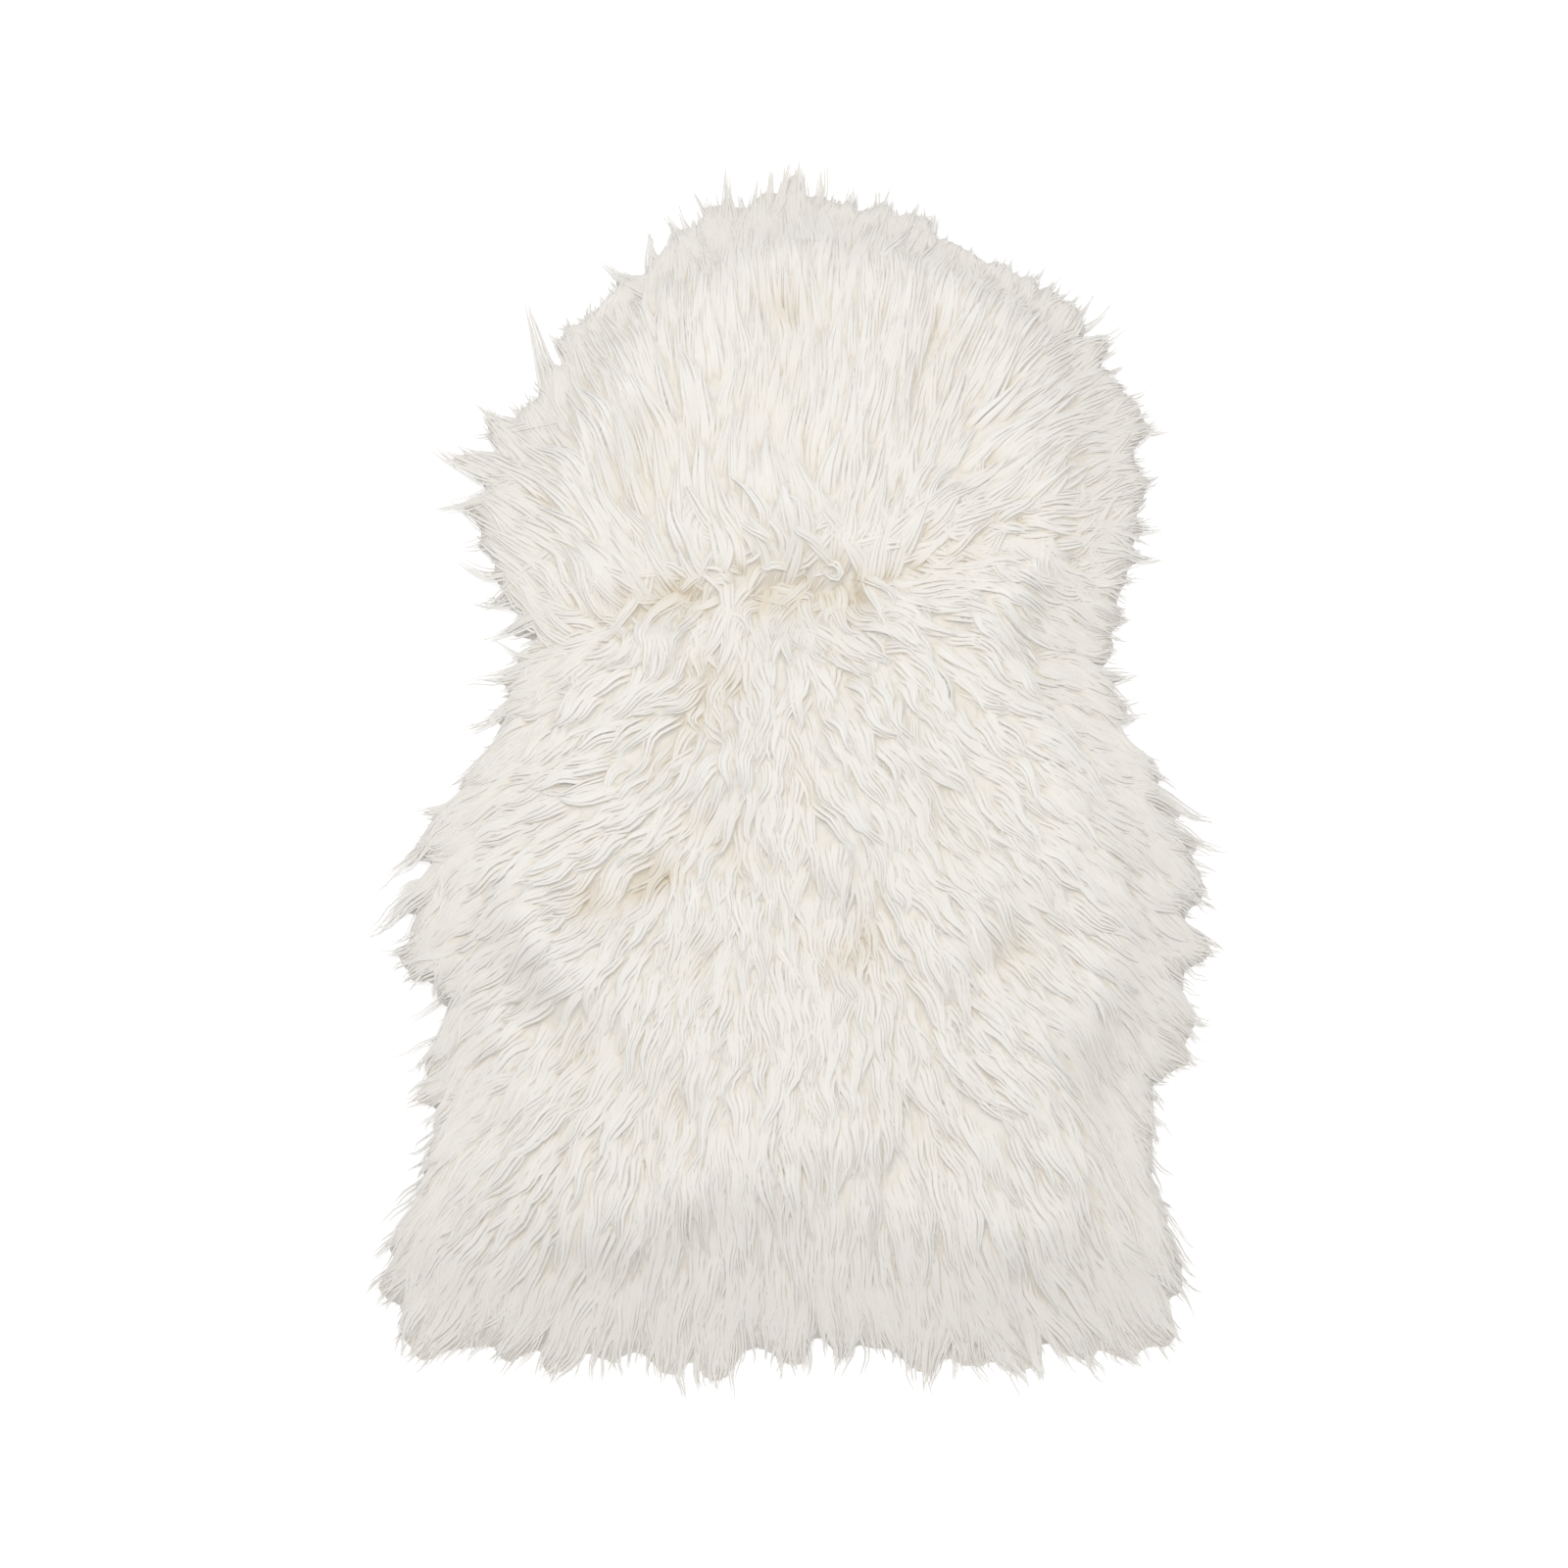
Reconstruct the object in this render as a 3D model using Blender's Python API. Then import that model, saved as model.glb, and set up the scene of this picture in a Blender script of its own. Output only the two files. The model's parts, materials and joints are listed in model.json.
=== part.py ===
"""Sheepskin rug: a tanned hide lying flat, hair side up, with its long fleece.

The hide is one flat sheet. The fleece that grows on it is one lumpy body, highest
along the back, parted into the hollows where the wool lies open, and drawn out all
round its rim into loose tapering locks that lie on the floor.

Frame: +Z up, +Y towards the neck, origin on the floor under the middle of the
footprint. Lengths are in metres.
"""

from collections import namedtuple

import bmesh
import bpy
import numpy as np

HIDE_THICKNESS = 0.002
HIDE_INSET = 0.022  # from the rim of the fleece's body in to the hide's cut edge
CLEARANCE = 0.0003  # between the hide and the fleece over it
RECESS_MARGIN = 0.003  # how far the level underside of the fleece overhangs the hide

PILE_HEIGHT = 0.050  # of the wool over the back, above the floor
NECK_EXTRA = 0.007  # the neck's wool stands this much higher
RIM_HEIGHT = 0.013  # of the fleece's body where the rim locks leave it
SHOULDER_RUN = 0.095  # over which the wool rises from the rim to its full height
SHOULDER_POWER = 2.4

# Each end is bowed out, the neck's to a round arch and the tail's with round corners.
Bow = namedtuple("Bow", "height power")
NECK_BOW = Bow(0.044, 2.3)
TAIL_BOW = Bow(0.013, 7.0)
BOW_REACH = 0.35  # share of the length over which a bow fades out

CELLS_ACROSS = 42
CELLS_ALONG = 64

LOCK_LENGTH = 0.041  # usual length of a rim lock beyond the body
LOCK_SPREAD = 0.40  # share by which their lengths vary either way
LOCK_TURN = 0.16  # radians by which their directions vary either way
LOCK_BEND = 0.009  # how far a tip swings sideways, at most
LOCKS_A_TURN = 4.0  # neighbours over which the turn and the bend change
OUTWARD_SHARE = 0.55  # how far a rim lock follows the rim's normal and not the lay
RANDOM_SEED = 11

# The fleece's body, seen from above, from the tail's end to the neck's end: where its
# left and right rims run at each distance y along the back.
Section = namedtuple("Section", "name y left right")
SECTIONS = (
    Section("tail", -0.397, -0.243, 0.232),
    Section("rump", -0.344, -0.237, 0.230),
    Section("loin", -0.282, -0.210, 0.215),
    Section("flank_back", -0.212, -0.218, 0.239),
    Section("flank", -0.137, -0.238, 0.253),
    Section("flank_front", -0.077, -0.220, 0.249),
    Section("waist_back", -0.012, -0.188, 0.217),
    Section("waist", 0.055, -0.166, 0.193),
    Section("shoulder_back", 0.113, -0.184, 0.209),
    Section("shoulder", 0.178, -0.202, 0.231),
    Section("shoulder_front", 0.253, -0.168, 0.225),
    Section("neck", 0.323, -0.134, 0.187),
    Section("neck_end", 0.363, -0.084, 0.131),
)

# Hollows where the wool parts: middle, half length, direction from +X and size.
Hollow = namedtuple("Hollow", "name x y reach turn_deg width depth")
HOLLOWS = (
    Hollow("parting_left", -0.110, 0.078, 0.045, 20, 0.020, 0.017),
    Hollow("parting_middle", -0.010, 0.093, 0.060, 0, 0.020, 0.018),
    Hollow("parting_right", 0.109, 0.115, 0.060, 21, 0.019, 0.014),
    Hollow("withers", -0.049, 0.033, 0.014, -35, 0.018, 0.012),
    Hollow("withers_right", 0.035, 0.010, 0.014, 60, 0.018, 0.011),
    Hollow("shoulder_right", 0.160, 0.033, 0.022, -24, 0.018, 0.011),
    Hollow("back_hook", -0.050, -0.097, 0.020, -42, 0.020, 0.015),
    Hollow("back_fold", -0.115, -0.135, 0.036, 26, 0.019, 0.015),
    Hollow("side_left", -0.175, -0.097, 0.014, 30, 0.018, 0.010),
    Hollow("loin_left", -0.171, -0.227, 0.026, -60, 0.020, 0.011),
    Hollow("back_middle", 0.045, -0.174, 0.016, 40, 0.018, 0.010),
    Hollow("flank_right", 0.183, -0.174, 0.024, 20, 0.020, 0.011),
)

# Broad swells of the wool: cells of noise across and along, and height.
Swell = namedtuple("Swell", "across along height")
SWELLS = (Swell(7.0, 0.080, 0.012), Swell(14.0, 0.050, 0.007), Swell(20.0, 0.045, 0.004))

# Rim locks that reach well past the rest: where they leave the body, and by how much.
LongLock = namedtuple("LongLock", "name x y extra")
LONG_LOCKS = (
    LongLock("neck_left", -0.039, 0.399, 0.016),
    LongLock("neck_middle", 0.013, 0.407, 0.012),
    LongLock("neck_right", 0.052, 0.403, 0.014),
    LongLock("neck_side", -0.143, 0.305, 0.022),
    LongLock("shoulder_left", -0.202, 0.178, 0.022),
    LongLock("shoulder_right", 0.228, 0.153, 0.012),
    LongLock("waist_left", -0.174, 0.031, 0.026),
    LongLock("flank_left", -0.237, -0.128, 0.030),
    LongLock("flank_right", 0.253, -0.099, 0.012),
    LongLock("tail_left", -0.236, -0.396, 0.016),
    LongLock("tail_right", 0.225, -0.396, 0.016),
)
LONG_LOCK_REACH = 0.012  # how near its place a lock has to be to be lengthened

# A rim lock's sections after its root: share of its length, width and height.
LockStep = namedtuple("LockStep", "along width height")
LOCK_STEPS = (LockStep(0.45, 0.84, 0.78), LockStep(0.80, 0.50, 0.44))

# The lay of the wool runs away from the parting across the shoulders: forward over the
# neck and back towards the tail, ever more so with distance, and out to both sides.
PARTING_Y = 0.098
SPINE_X = -0.003
LAY_SIDE = 0.22  # from the spine to where the lay runs as much sideways as lengthwise
LAY_POWER = 1.4
FORWARD_START = 0.25
FORWARD_REACH = 0.20
BACK_START = 0.15
BACK_REACH = 0.42

FLEECE_COLOUR = (0.84, 0.81, 0.75, 1.0)
HIDE_COLOUR = (0.66, 0.55, 0.40, 1.0)


def cleared_scene():
    """Remove whatever the file holds and return an empty collection for the rug."""
    for old in list(bpy.data.objects):
        bpy.data.objects.remove(old)
    rug = bpy.data.collections.new("sheepskin_rug")
    bpy.context.scene.collection.children.link(rug)
    return rug


def finish(name, colour, roughness):
    """A plain Principled material."""
    material = bpy.data.materials.new(name)
    material.use_nodes = True
    shader = material.node_tree.nodes["Principled BSDF"]
    shader.inputs["Base Color"].default_value = colour
    shader.inputs["Roughness"].default_value = roughness
    shader.inputs["Metallic"].default_value = 0.0
    return material


def smoothed(knots, values, at):
    """Cubic Hermite curve through (knots, values), with slopes from the neighbours."""
    knots, values = np.asarray(knots), np.asarray(values)
    slopes = np.gradient(values, knots)
    at = np.clip(at, knots[0], knots[-1])
    i = np.clip(np.searchsorted(knots, at) - 1, 0, len(knots) - 2)
    span = knots[i + 1] - knots[i]
    t = (at - knots[i]) / span
    start = (1 + 2 * t) * (1 - t) ** 2 * values[i] + t * (1 - t) ** 2 * span * slopes[i]
    end = t * t * (3 - 2 * t) * values[i + 1] + t * t * (t - 1) * span * slopes[i + 1]
    return start + end


def eased(t):
    """Smooth step from 0 to 1."""
    t = np.clip(t, 0.0, 1.0)
    return t * t * (3 - 2 * t)


def footprint(across, along, inset=0.0):
    """Plan position of shares across (left to right) and along (tail to neck)."""
    stations = [s.y for s in SECTIONS]
    tail, neck = stations[0] + inset, stations[-1] - inset
    y = tail + along * (neck - tail)
    left = smoothed(stations, [s.left for s in SECTIONS], y) + inset
    right = smoothed(stations, [s.right for s in SECTIONS], y) - inset
    from_middle = np.abs(2 * across - 1)
    neck_arch = NECK_BOW.height * (1 - from_middle**NECK_BOW.power)
    tail_arch = TAIL_BOW.height * (1 - from_middle**TAIL_BOW.power)
    y = y + neck_arch * eased((along - 1 + BOW_REACH) / BOW_REACH)
    y = y - tail_arch * eased((BOW_REACH - along) / BOW_REACH)
    return left + across * (right - left), y


def noise(x, y, seed):
    """Smooth lattice noise from -1 to 1."""
    size = 64
    lattice = np.random.default_rng(seed).uniform(-1, 1, (size, size))
    column, row = np.floor(x).astype(int), np.floor(y).astype(int)
    u, v = eased(x - column), eased(y - row)

    def corner(i, j):
        return lattice[(column + i) % size, (row + j) % size]

    low = corner(0, 0) * (1 - u) + corner(1, 0) * u
    high = corner(0, 1) * (1 - u) + corner(1, 1) * u
    return low * (1 - v) + high * v


def hollows(x, y):
    """Depth of the partings: each is a trough that dies out past its two ends."""
    depth = np.zeros_like(x)
    for h in HOLLOWS:
        turn = np.radians(h.turn_deg)
        along = (x - h.x) * np.cos(turn) + (y - h.y) * np.sin(turn)
        aside = (y - h.y) * np.cos(turn) - (x - h.x) * np.sin(turn)
        beyond = np.maximum(np.abs(along) - h.reach, 0.0)
        away = (aside**2 + beyond**2) / h.width**2
        depth = np.maximum(depth, h.depth * np.exp(-away))
    return depth


def wool_height(across, along, x, y):
    """Height of the fleece: a shoulder from the rim, swells, partings and the neck."""
    stations = [s.y for s in SECTIONS]
    width = smoothed(stations, [s.right - s.left for s in SECTIONS], y)
    length = stations[-1] - stations[0]
    side = np.minimum(across, 1 - across) * width
    end = np.minimum(along, 1 - along) * length
    rise_side = np.clip(side / SHOULDER_RUN, 0, 1)
    rise_end = np.clip(end / SHOULDER_RUN, 0, 1)
    rise = (1 - (1 - rise_side) ** SHOULDER_POWER) * (1 - (1 - rise_end) ** SHOULDER_POWER)
    full = PILE_HEIGHT + NECK_EXTRA * eased((y - PARTING_Y) / LAY_SIDE)
    for number, swell in enumerate(SWELLS):
        full = full + swell.height * noise(across * swell.across, y / swell.along, number)
    return RIM_HEIGHT + (full - RIM_HEIGHT - hollows(x, y)) * rise


def lay(x, y):
    """Direction in which the wool lies: away from the parting, fanning to the sides."""
    past, aside = y - PARTING_Y, x - SPINE_X
    sideways = np.sign(aside) * np.abs(aside / LAY_SIDE) ** LAY_POWER
    forward = FORWARD_START + past / FORWARD_REACH
    back = -BACK_START + past / BACK_REACH
    lengthwise = np.where(past > 0, forward, back)
    return np.array([sideways, lengthwise]) / np.hypot(sideways, lengthwise)


def body_surface():
    """The fleece's upper side: a flat grid bent to the footprint and raised."""
    body = bmesh.new()
    bmesh.ops.create_grid(body, x_segments=CELLS_ACROSS, y_segments=CELLS_ALONG, size=0.5)
    shares = [body.verts.layers.float.new(name) for name in ("across", "along")]
    flat = np.array([v.co for v in body.verts])
    across, along = flat[:, 0] + 0.5, flat[:, 1] + 0.5
    x, y = footprint(across, along)
    z = wool_height(across, along, x, y)
    for vertex, place, share in zip(body.verts, np.stack([x, y, z], 1), np.stack([across, along], 1)):
        vertex.co = place
        vertex[shares[0]], vertex[shares[1]] = share
    return body, shares


def drawn_on(body, edges, place):
    """Extrude a rim's edges, put each new vertex at place(vertex) and return the new rim."""
    made = bmesh.ops.extrude_edge_only(body, edges=edges)["geom"]
    for vertex in [g for g in made if isinstance(g, bmesh.types.BMVert)]:
        vertex.co = place(vertex)
    rim = [g for g in made if isinstance(g, bmesh.types.BMEdge) and g.is_boundary]
    walls = [g for g in made if isinstance(g, bmesh.types.BMFace)]
    return rim, walls


def close_underside(body, shares):
    """Rim wall down to the floor, then in and up to clear the hide, then a level face."""
    level = HIDE_THICKNESS + CLEARANCE
    inset = HIDE_INSET - RECESS_MARGIN

    def over_hide(vertex):
        x, y = footprint(vertex[shares[0]], vertex[shares[1]], inset)
        return x, y, level

    rim = [e for e in body.edges if e.is_boundary]
    rim, walls = drawn_on(body, rim, lambda v: (v.co.x, v.co.y, 0.0))
    rim, _ = drawn_on(body, rim, over_hide)
    bmesh.ops.contextual_create(body, geom=rim)
    bmesh.ops.recalc_face_normals(body, faces=body.faces)
    return walls


def lock_length(x, y, share):
    """Length of the rim lock that leaves the body at (x, y)."""
    length = LOCK_LENGTH * (1 + LOCK_SPREAD * share)
    for long in LONG_LOCKS:
        away = np.hypot(x - long.x, y - long.y) / LONG_LOCK_REACH
        length += long.extra * np.exp(-(away**2))
    return length


def grow_lock(body, wall, place, share):
    """Draw one rim wall out into a four-sided lock that tapers to a point on the floor.

    place counts the locks round the rim, and share says how long this one is.
    """
    root = np.array([v.co for v in wall.verts])
    middle = root[:, :2].mean(0)
    outward = np.array(wall.normal)[:2]
    outward /= np.linalg.norm(outward)
    rows = np.array([0.0, 9.0])
    turn, bend = noise(place / LOCKS_A_TURN + 0 * rows, rows, RANDOM_SEED)
    way = outward * OUTWARD_SHARE + lay(*middle) * (1 - OUTWARD_SHARE)
    angle = np.arctan2(way[1], way[0]) + turn * LOCK_TURN
    way = np.array([np.cos(angle), np.sin(angle)])
    aside = np.array([-way[1], way[0]])
    length = lock_length(*middle, share)
    spread = (root[:, :2] - middle) @ aside
    for step in LOCK_STEPS:
        wall = bmesh.ops.extrude_discrete_faces(body, faces=[wall])["faces"][0]
        centre = middle + way * length * step.along + aside * bend * LOCK_BEND * step.along**2
        for vertex, offset, height in zip(wall.verts, spread, root[:, 2]):
            vertex.co.xy = centre + aside * offset * step.width
            vertex.co.z = height * step.height
    wall = bmesh.ops.extrude_discrete_faces(body, faces=[wall])["faces"][0]
    tip = middle + way * length + aside * bend * LOCK_BEND
    bmesh.ops.pointmerge(body, verts=list(wall.verts), merge_co=(tip[0], tip[1], 0.0))


def round_the_rim(wall):
    """Angle of a rim wall as seen from the middle of the rug, which orders the locks."""
    middle = wall.calc_center_median()
    return np.arctan2(middle.y, middle.x)


def fleece_object(rug):
    """The whole fleece as one closed body, in the drawing's own place."""
    body, shares = body_surface()
    walls = sorted(close_underside(body, shares), key=round_the_rim)
    lengths = np.random.default_rng(RANDOM_SEED).uniform(-1, 1, len(walls))
    for place, (wall, share) in enumerate(zip(walls, lengths)):
        grow_lock(body, wall, place, share)
    mesh = bpy.data.meshes.new("fleece")
    bmesh.ops.triangulate(body, faces=body.faces)
    body.to_mesh(mesh)
    body.free()
    mesh.materials.append(finish("ivory_wool", FLEECE_COLOUR, 0.95))
    mesh.shade_smooth()
    fleece = bpy.data.objects.new("fleece", mesh)
    rug.objects.link(fleece)
    return fleece


def rim_shares(cells_across, cells_along):
    """Shares across and along of the footprint's rim, once round from the tail's left."""
    side = np.linspace(0, 1, cells_along + 1)[:-1]
    end = np.linspace(0, 1, cells_across + 1)[:-1]
    across = np.concatenate([end, np.ones_like(side), 1 - end, np.zeros_like(side)])
    along = np.concatenate([np.zeros_like(end), side, np.ones_like(end), 1 - side])
    return across, along


def hide_object(rug):
    """The hide: the footprint's outline, inset, as a filled flat curve with thickness."""
    x, y = footprint(*rim_shares(CELLS_ACROSS // 2, CELLS_ALONG // 2), HIDE_INSET)
    outline = bpy.data.curves.new("hide", "CURVE")
    outline.dimensions = "2D"
    outline.fill_mode = "BOTH"
    outline.extrude = HIDE_THICKNESS / 2
    spline = outline.splines.new("POLY")
    spline.points.add(len(x) - 1)
    spline.points.foreach_set("co", np.stack([x, y, 0 * x, 0 * x + 1], 1).ravel())
    spline.use_cyclic_u = True
    outline.materials.append(finish("tanned_hide", HIDE_COLOUR, 0.8))
    hide = bpy.data.objects.new("hide", outline)
    hide.location.z = HIDE_THICKNESS / 2
    rug.objects.link(hide)
    return hide


def centre_on_origin(fleece, others):
    """Centre the footprint on the origin, from which the tips leave it a little off."""
    corners = np.array([v.co for v in fleece.data.vertices])
    middle = (corners.min(0) + corners.max(0)) / 2
    for piece in (fleece, *others):
        piece.location.x -= middle[0]
        piece.location.y -= middle[1]


def main():
    rug = cleared_scene()
    fleece = fleece_object(rug)
    hide = hide_object(rug)
    centre_on_origin(fleece, [hide])


main()
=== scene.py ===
"""A long-haired ivory sheepskin rug, lying hair side up on a pale floor.

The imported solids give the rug's place and form. Here the tanned hide becomes a sheet with a
suede underside, and the fleece becomes a closed body of wool with some seventeen thousand
strands on it. The strands grow in locks, the locks lean together into tufts, and all of them
follow the lay of the wool, which runs away from a parting across the shoulders.
"""

import json
import logging
from dataclasses import dataclass, field
from enum import Enum
from typing import Any, Iterator, NamedTuple, Union

import bpy
import numpy as np
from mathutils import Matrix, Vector
from numpy.typing import NDArray

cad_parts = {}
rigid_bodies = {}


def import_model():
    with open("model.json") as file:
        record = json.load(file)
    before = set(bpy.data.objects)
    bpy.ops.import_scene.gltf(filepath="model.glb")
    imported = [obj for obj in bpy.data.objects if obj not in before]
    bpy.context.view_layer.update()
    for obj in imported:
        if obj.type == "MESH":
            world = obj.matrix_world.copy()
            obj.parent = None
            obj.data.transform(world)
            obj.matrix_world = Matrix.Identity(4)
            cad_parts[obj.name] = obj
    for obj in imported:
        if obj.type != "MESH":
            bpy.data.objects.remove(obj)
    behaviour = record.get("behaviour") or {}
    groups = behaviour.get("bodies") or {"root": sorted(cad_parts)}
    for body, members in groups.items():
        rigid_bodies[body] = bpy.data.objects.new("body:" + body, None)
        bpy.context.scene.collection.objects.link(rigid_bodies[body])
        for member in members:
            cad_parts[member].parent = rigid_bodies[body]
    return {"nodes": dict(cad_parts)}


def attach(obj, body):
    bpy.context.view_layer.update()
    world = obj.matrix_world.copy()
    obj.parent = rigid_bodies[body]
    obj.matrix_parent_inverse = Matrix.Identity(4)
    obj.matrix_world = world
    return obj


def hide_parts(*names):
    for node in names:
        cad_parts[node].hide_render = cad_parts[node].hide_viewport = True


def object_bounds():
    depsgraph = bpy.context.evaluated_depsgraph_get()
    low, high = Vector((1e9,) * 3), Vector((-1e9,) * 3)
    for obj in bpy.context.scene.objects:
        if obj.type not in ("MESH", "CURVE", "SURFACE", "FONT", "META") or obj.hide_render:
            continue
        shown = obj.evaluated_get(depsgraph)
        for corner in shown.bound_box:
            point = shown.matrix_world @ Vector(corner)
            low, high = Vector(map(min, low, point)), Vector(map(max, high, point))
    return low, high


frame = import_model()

LOG = logging.getLogger("sheepskin_rug")

Array = NDArray[np.float64]
Colour = tuple[float, float, float]

MM = 0.001

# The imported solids' box, and its lowest and highest corners on the floor.
CAD_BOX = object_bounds()
LOW, HIGH = (np.array(corner)[:2] for corner in CAD_BOX)

# Every lock and strand has a centre line of this many steps, and the shares of its length at
# which its places stand are the same for all.
STEPS = 8
SHARE = np.linspace(0, 1, STEPS + 1)[None]

# The strands' map has one column for each of their tints.
TINTS = 16


# Shapes of numbers


def eased(t: Array) -> Array:
    """Smooth step from 0 to 1: 3 t squared less 2 t cubed, with t held between 0 and 1."""
    t = np.clip(t, 0.0, 1.0)
    return t * t * (3 - 2 * t)


def unit(vectors: Array) -> Array:
    """The vectors along the last axis, each brought to a length of 1."""
    return vectors / (np.linalg.norm(vectors, axis=-1, keepdims=True) + 1e-12)


def beside(values: Array, mode: str) -> list[Array]:
    """A grid's values to the left, to the right, before and behind, padded at its edge by mode."""
    padded = np.pad(values, 1, mode=mode)
    return [padded[:-2, 1:-1], padded[2:, 1:-1], padded[1:-1, :-2], padded[1:-1, 2:]]


def level_grid(margin: float, pitch: float) -> Array:
    """A square grid over the solids' box and a margin round it.

    Args:
        margin: How far the grid goes past the box.
        pitch: Distance between its points.

    Returns:
        Places, as (column, row, axis).
    """
    axes = [np.arange(low - margin, high + margin, pitch) for low, high in zip(LOW, HIGH)]
    return np.stack(np.meshgrid(*axes, indexing="ij"), -1)


def blended(
    values: Array, columns: tuple[Array, Array], rows: tuple[Array, Array], u: Array, v: Array
) -> Array:
    """Bilinear blend of a grid's values.

    Args:
        values: The grid, as (column, row).
        columns: The columns to the left and to the right of each point.
        rows: The rows before and behind it.
        u: Its share of the way from the left column to the right one.
        v: Its share of the way from the row before to the row behind.

    Returns:
        The blended values.
    """
    near, far = (values[columns[0], row] * (1 - u) + values[columns[1], row] * u for row in rows)
    return near * (1 - v) + far * v


def along(line: Array, share: Array) -> Array:
    """Places on lines, blended between the ends of their steps.

    Args:
        line: The lines, as (line, step, axis).
        share: Shares of each line's length, as (line, place).

    Returns:
        Places, as (line, place, axis). Past its end a line goes straight on.
    """
    low = np.clip(share * STEPS, 0, STEPS - 0.001).astype(int)
    part = (share * STEPS - low)[..., None]
    rows = np.arange(len(line))[:, None]
    return line[rows, low] * (1 - part) + line[rows, low + 1] * part


def sideways(line: Array) -> Array:
    """Level directions across lines.

    Args:
        line: Places, as (line, step, axis), of two axes or three.

    Returns:
        Directions of length 1 to each line's left, with as many axes as the places.
    """
    way = unit(np.gradient(line[..., :2], axis=1))
    left = np.stack([-way[..., 1], way[..., 0]], -1)
    return np.pad(left, ((0, 0), (0, 0), (0, line.shape[-1] - 2)))


@dataclass(frozen=True)
class Taper:
    """How wide something is along its length, as shares of its full width."""

    start: float
    run: float
    end: float
    power: float

    def at(self, share: Array) -> Array:
        """Width at shares of the length.

        Args:
            share: Shares of the length, of any shape.

        Returns:
            Shares of the full width: a smooth step from the start's up to 1 over the run, less
            a power of the share of the length, which takes it down to the end's.
        """
        swelling = self.start + (1 - self.start) * eased(share / self.run)
        return swelling * (1 - (1 - self.end) * np.clip(share, 0, 1) ** self.power)


@dataclass(frozen=True)
class Noise:
    """Smooth seeded noise from -1 to 1: a lattice of random values, blended by smooth steps."""

    seed: int
    cell: float
    start: tuple[float, float]
    size: int = 64

    def at(self, place: Array) -> Array:
        """Noise at each place.

        Args:
            place: Places, as (..., axis). The lattice has a value at every cell, and its start
                says where in it the origin is.

        Returns:
            The noise there, as (...).
        """
        lattice = np.random.default_rng(self.seed).uniform(-1, 1, (self.size, self.size))
        x, y = (place[..., axis] / self.cell + self.start[axis] for axis in range(2))
        column, row = np.floor(x).astype(int), np.floor(y).astype(int)
        u, v = eased(x - column), eased(y - row)
        columns, rows = ((low % self.size, (low + 1) % self.size) for low in (column, row))
        return blended(lattice, columns, rows, u, v)


@dataclass(frozen=True)
class Field:
    """Values on a level grid, read between its points by bilinear blending."""

    low: Array
    pitch: float
    values: Array

    def at(self, place: Array) -> Array:
        """Value at each place, held at the grid's edge beyond it.

        Args:
            place: Places, as (..., axis), of which the first two axes count.

        Returns:
            The values there, as (...).
        """
        columns, rows = self.values.shape
        u = np.clip((place[..., 0] - self.low[0]) / self.pitch, 0, columns - 1.001)
        v = np.clip((place[..., 1] - self.low[1]) / self.pitch, 0, rows - 1.001)
        i, j = u.astype(int), v.astype(int)
        return blended(self.values, (i, i + 1), (j, j + 1), u - i, v - j)

    def like(self, values: Array) -> "Field":
        """A field of other values on the same grid."""
        return Field(self.low, self.pitch, values)

    def blurred(self, reach: float) -> "Field":
        """The same field with each value averaged over about reach to every side.

        Args:
            reach: Half width of the average.

        Returns:
            A field on the same grid. Each pass averages a value with its four neighbours'
            mean, which spreads it by half a cell, so the passes grow with the reach squared.
        """
        values = self.values
        for _ in range(int(2 * (reach / self.pitch) ** 2)):
            left, right, before, behind = beside(values, "edge")
            values = (values + (left + right + before + behind) / 4) / 2
        return self.like(values)

    def slope(self, place: Array) -> Array:
        """How steeply the values rise along X and along Y at each place, as (..., axis)."""
        rises = np.gradient(self.values, self.pitch)
        return np.stack([self.like(rise).at(place) for rise in rises], -1)

    def normals(self, place: Array) -> Array:
        """Normals at each place of the surface whose height the values are, each with a rise of 1."""
        slope = self.slope(place)
        return np.concatenate([-slope, np.ones((*slope.shape[:-1], 1))], -1)


def make_mesh(
    name: str, points: Array, faces: list[Array], uvs: Union[Array, None] = None
) -> bpy.types.Object:
    """A smooth-shaded object from arrays.

    Args:
        name: The object's name.
        points: Vertex places, one row each.
        faces: Arrays of vertex numbers, one row a face; each array holds faces of one size.
        uvs: Map places for the faces' corners in the order of faces, one row a corner.

    Returns:
        The new object, linked to the scene and placed at the origin.
    """
    mesh = bpy.data.meshes.new(name)
    sizes = np.concatenate([np.full(len(f), f.shape[1]) for f in faces])
    corners = np.concatenate([f.ravel() for f in faces])
    mesh.vertices.add(len(points))
    mesh.vertices.foreach_set("co", points.ravel())
    mesh.loops.add(len(corners))
    mesh.loops.foreach_set("vertex_index", corners)
    mesh.polygons.add(len(sizes))
    mesh.polygons.foreach_set("loop_start", np.concatenate([[0], np.cumsum(sizes)[:-1]]))
    if uvs is not None:
        mesh.uv_layers.new(name="OFBake").data.foreach_set("uv", uvs.ravel())
    mesh.update(calc_edges=True)
    mesh.validate()
    mesh.shade_smooth()
    made = bpy.data.objects.new(name, mesh)
    bpy.context.scene.collection.objects.link(made)
    return made


# Shader nodes


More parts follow.
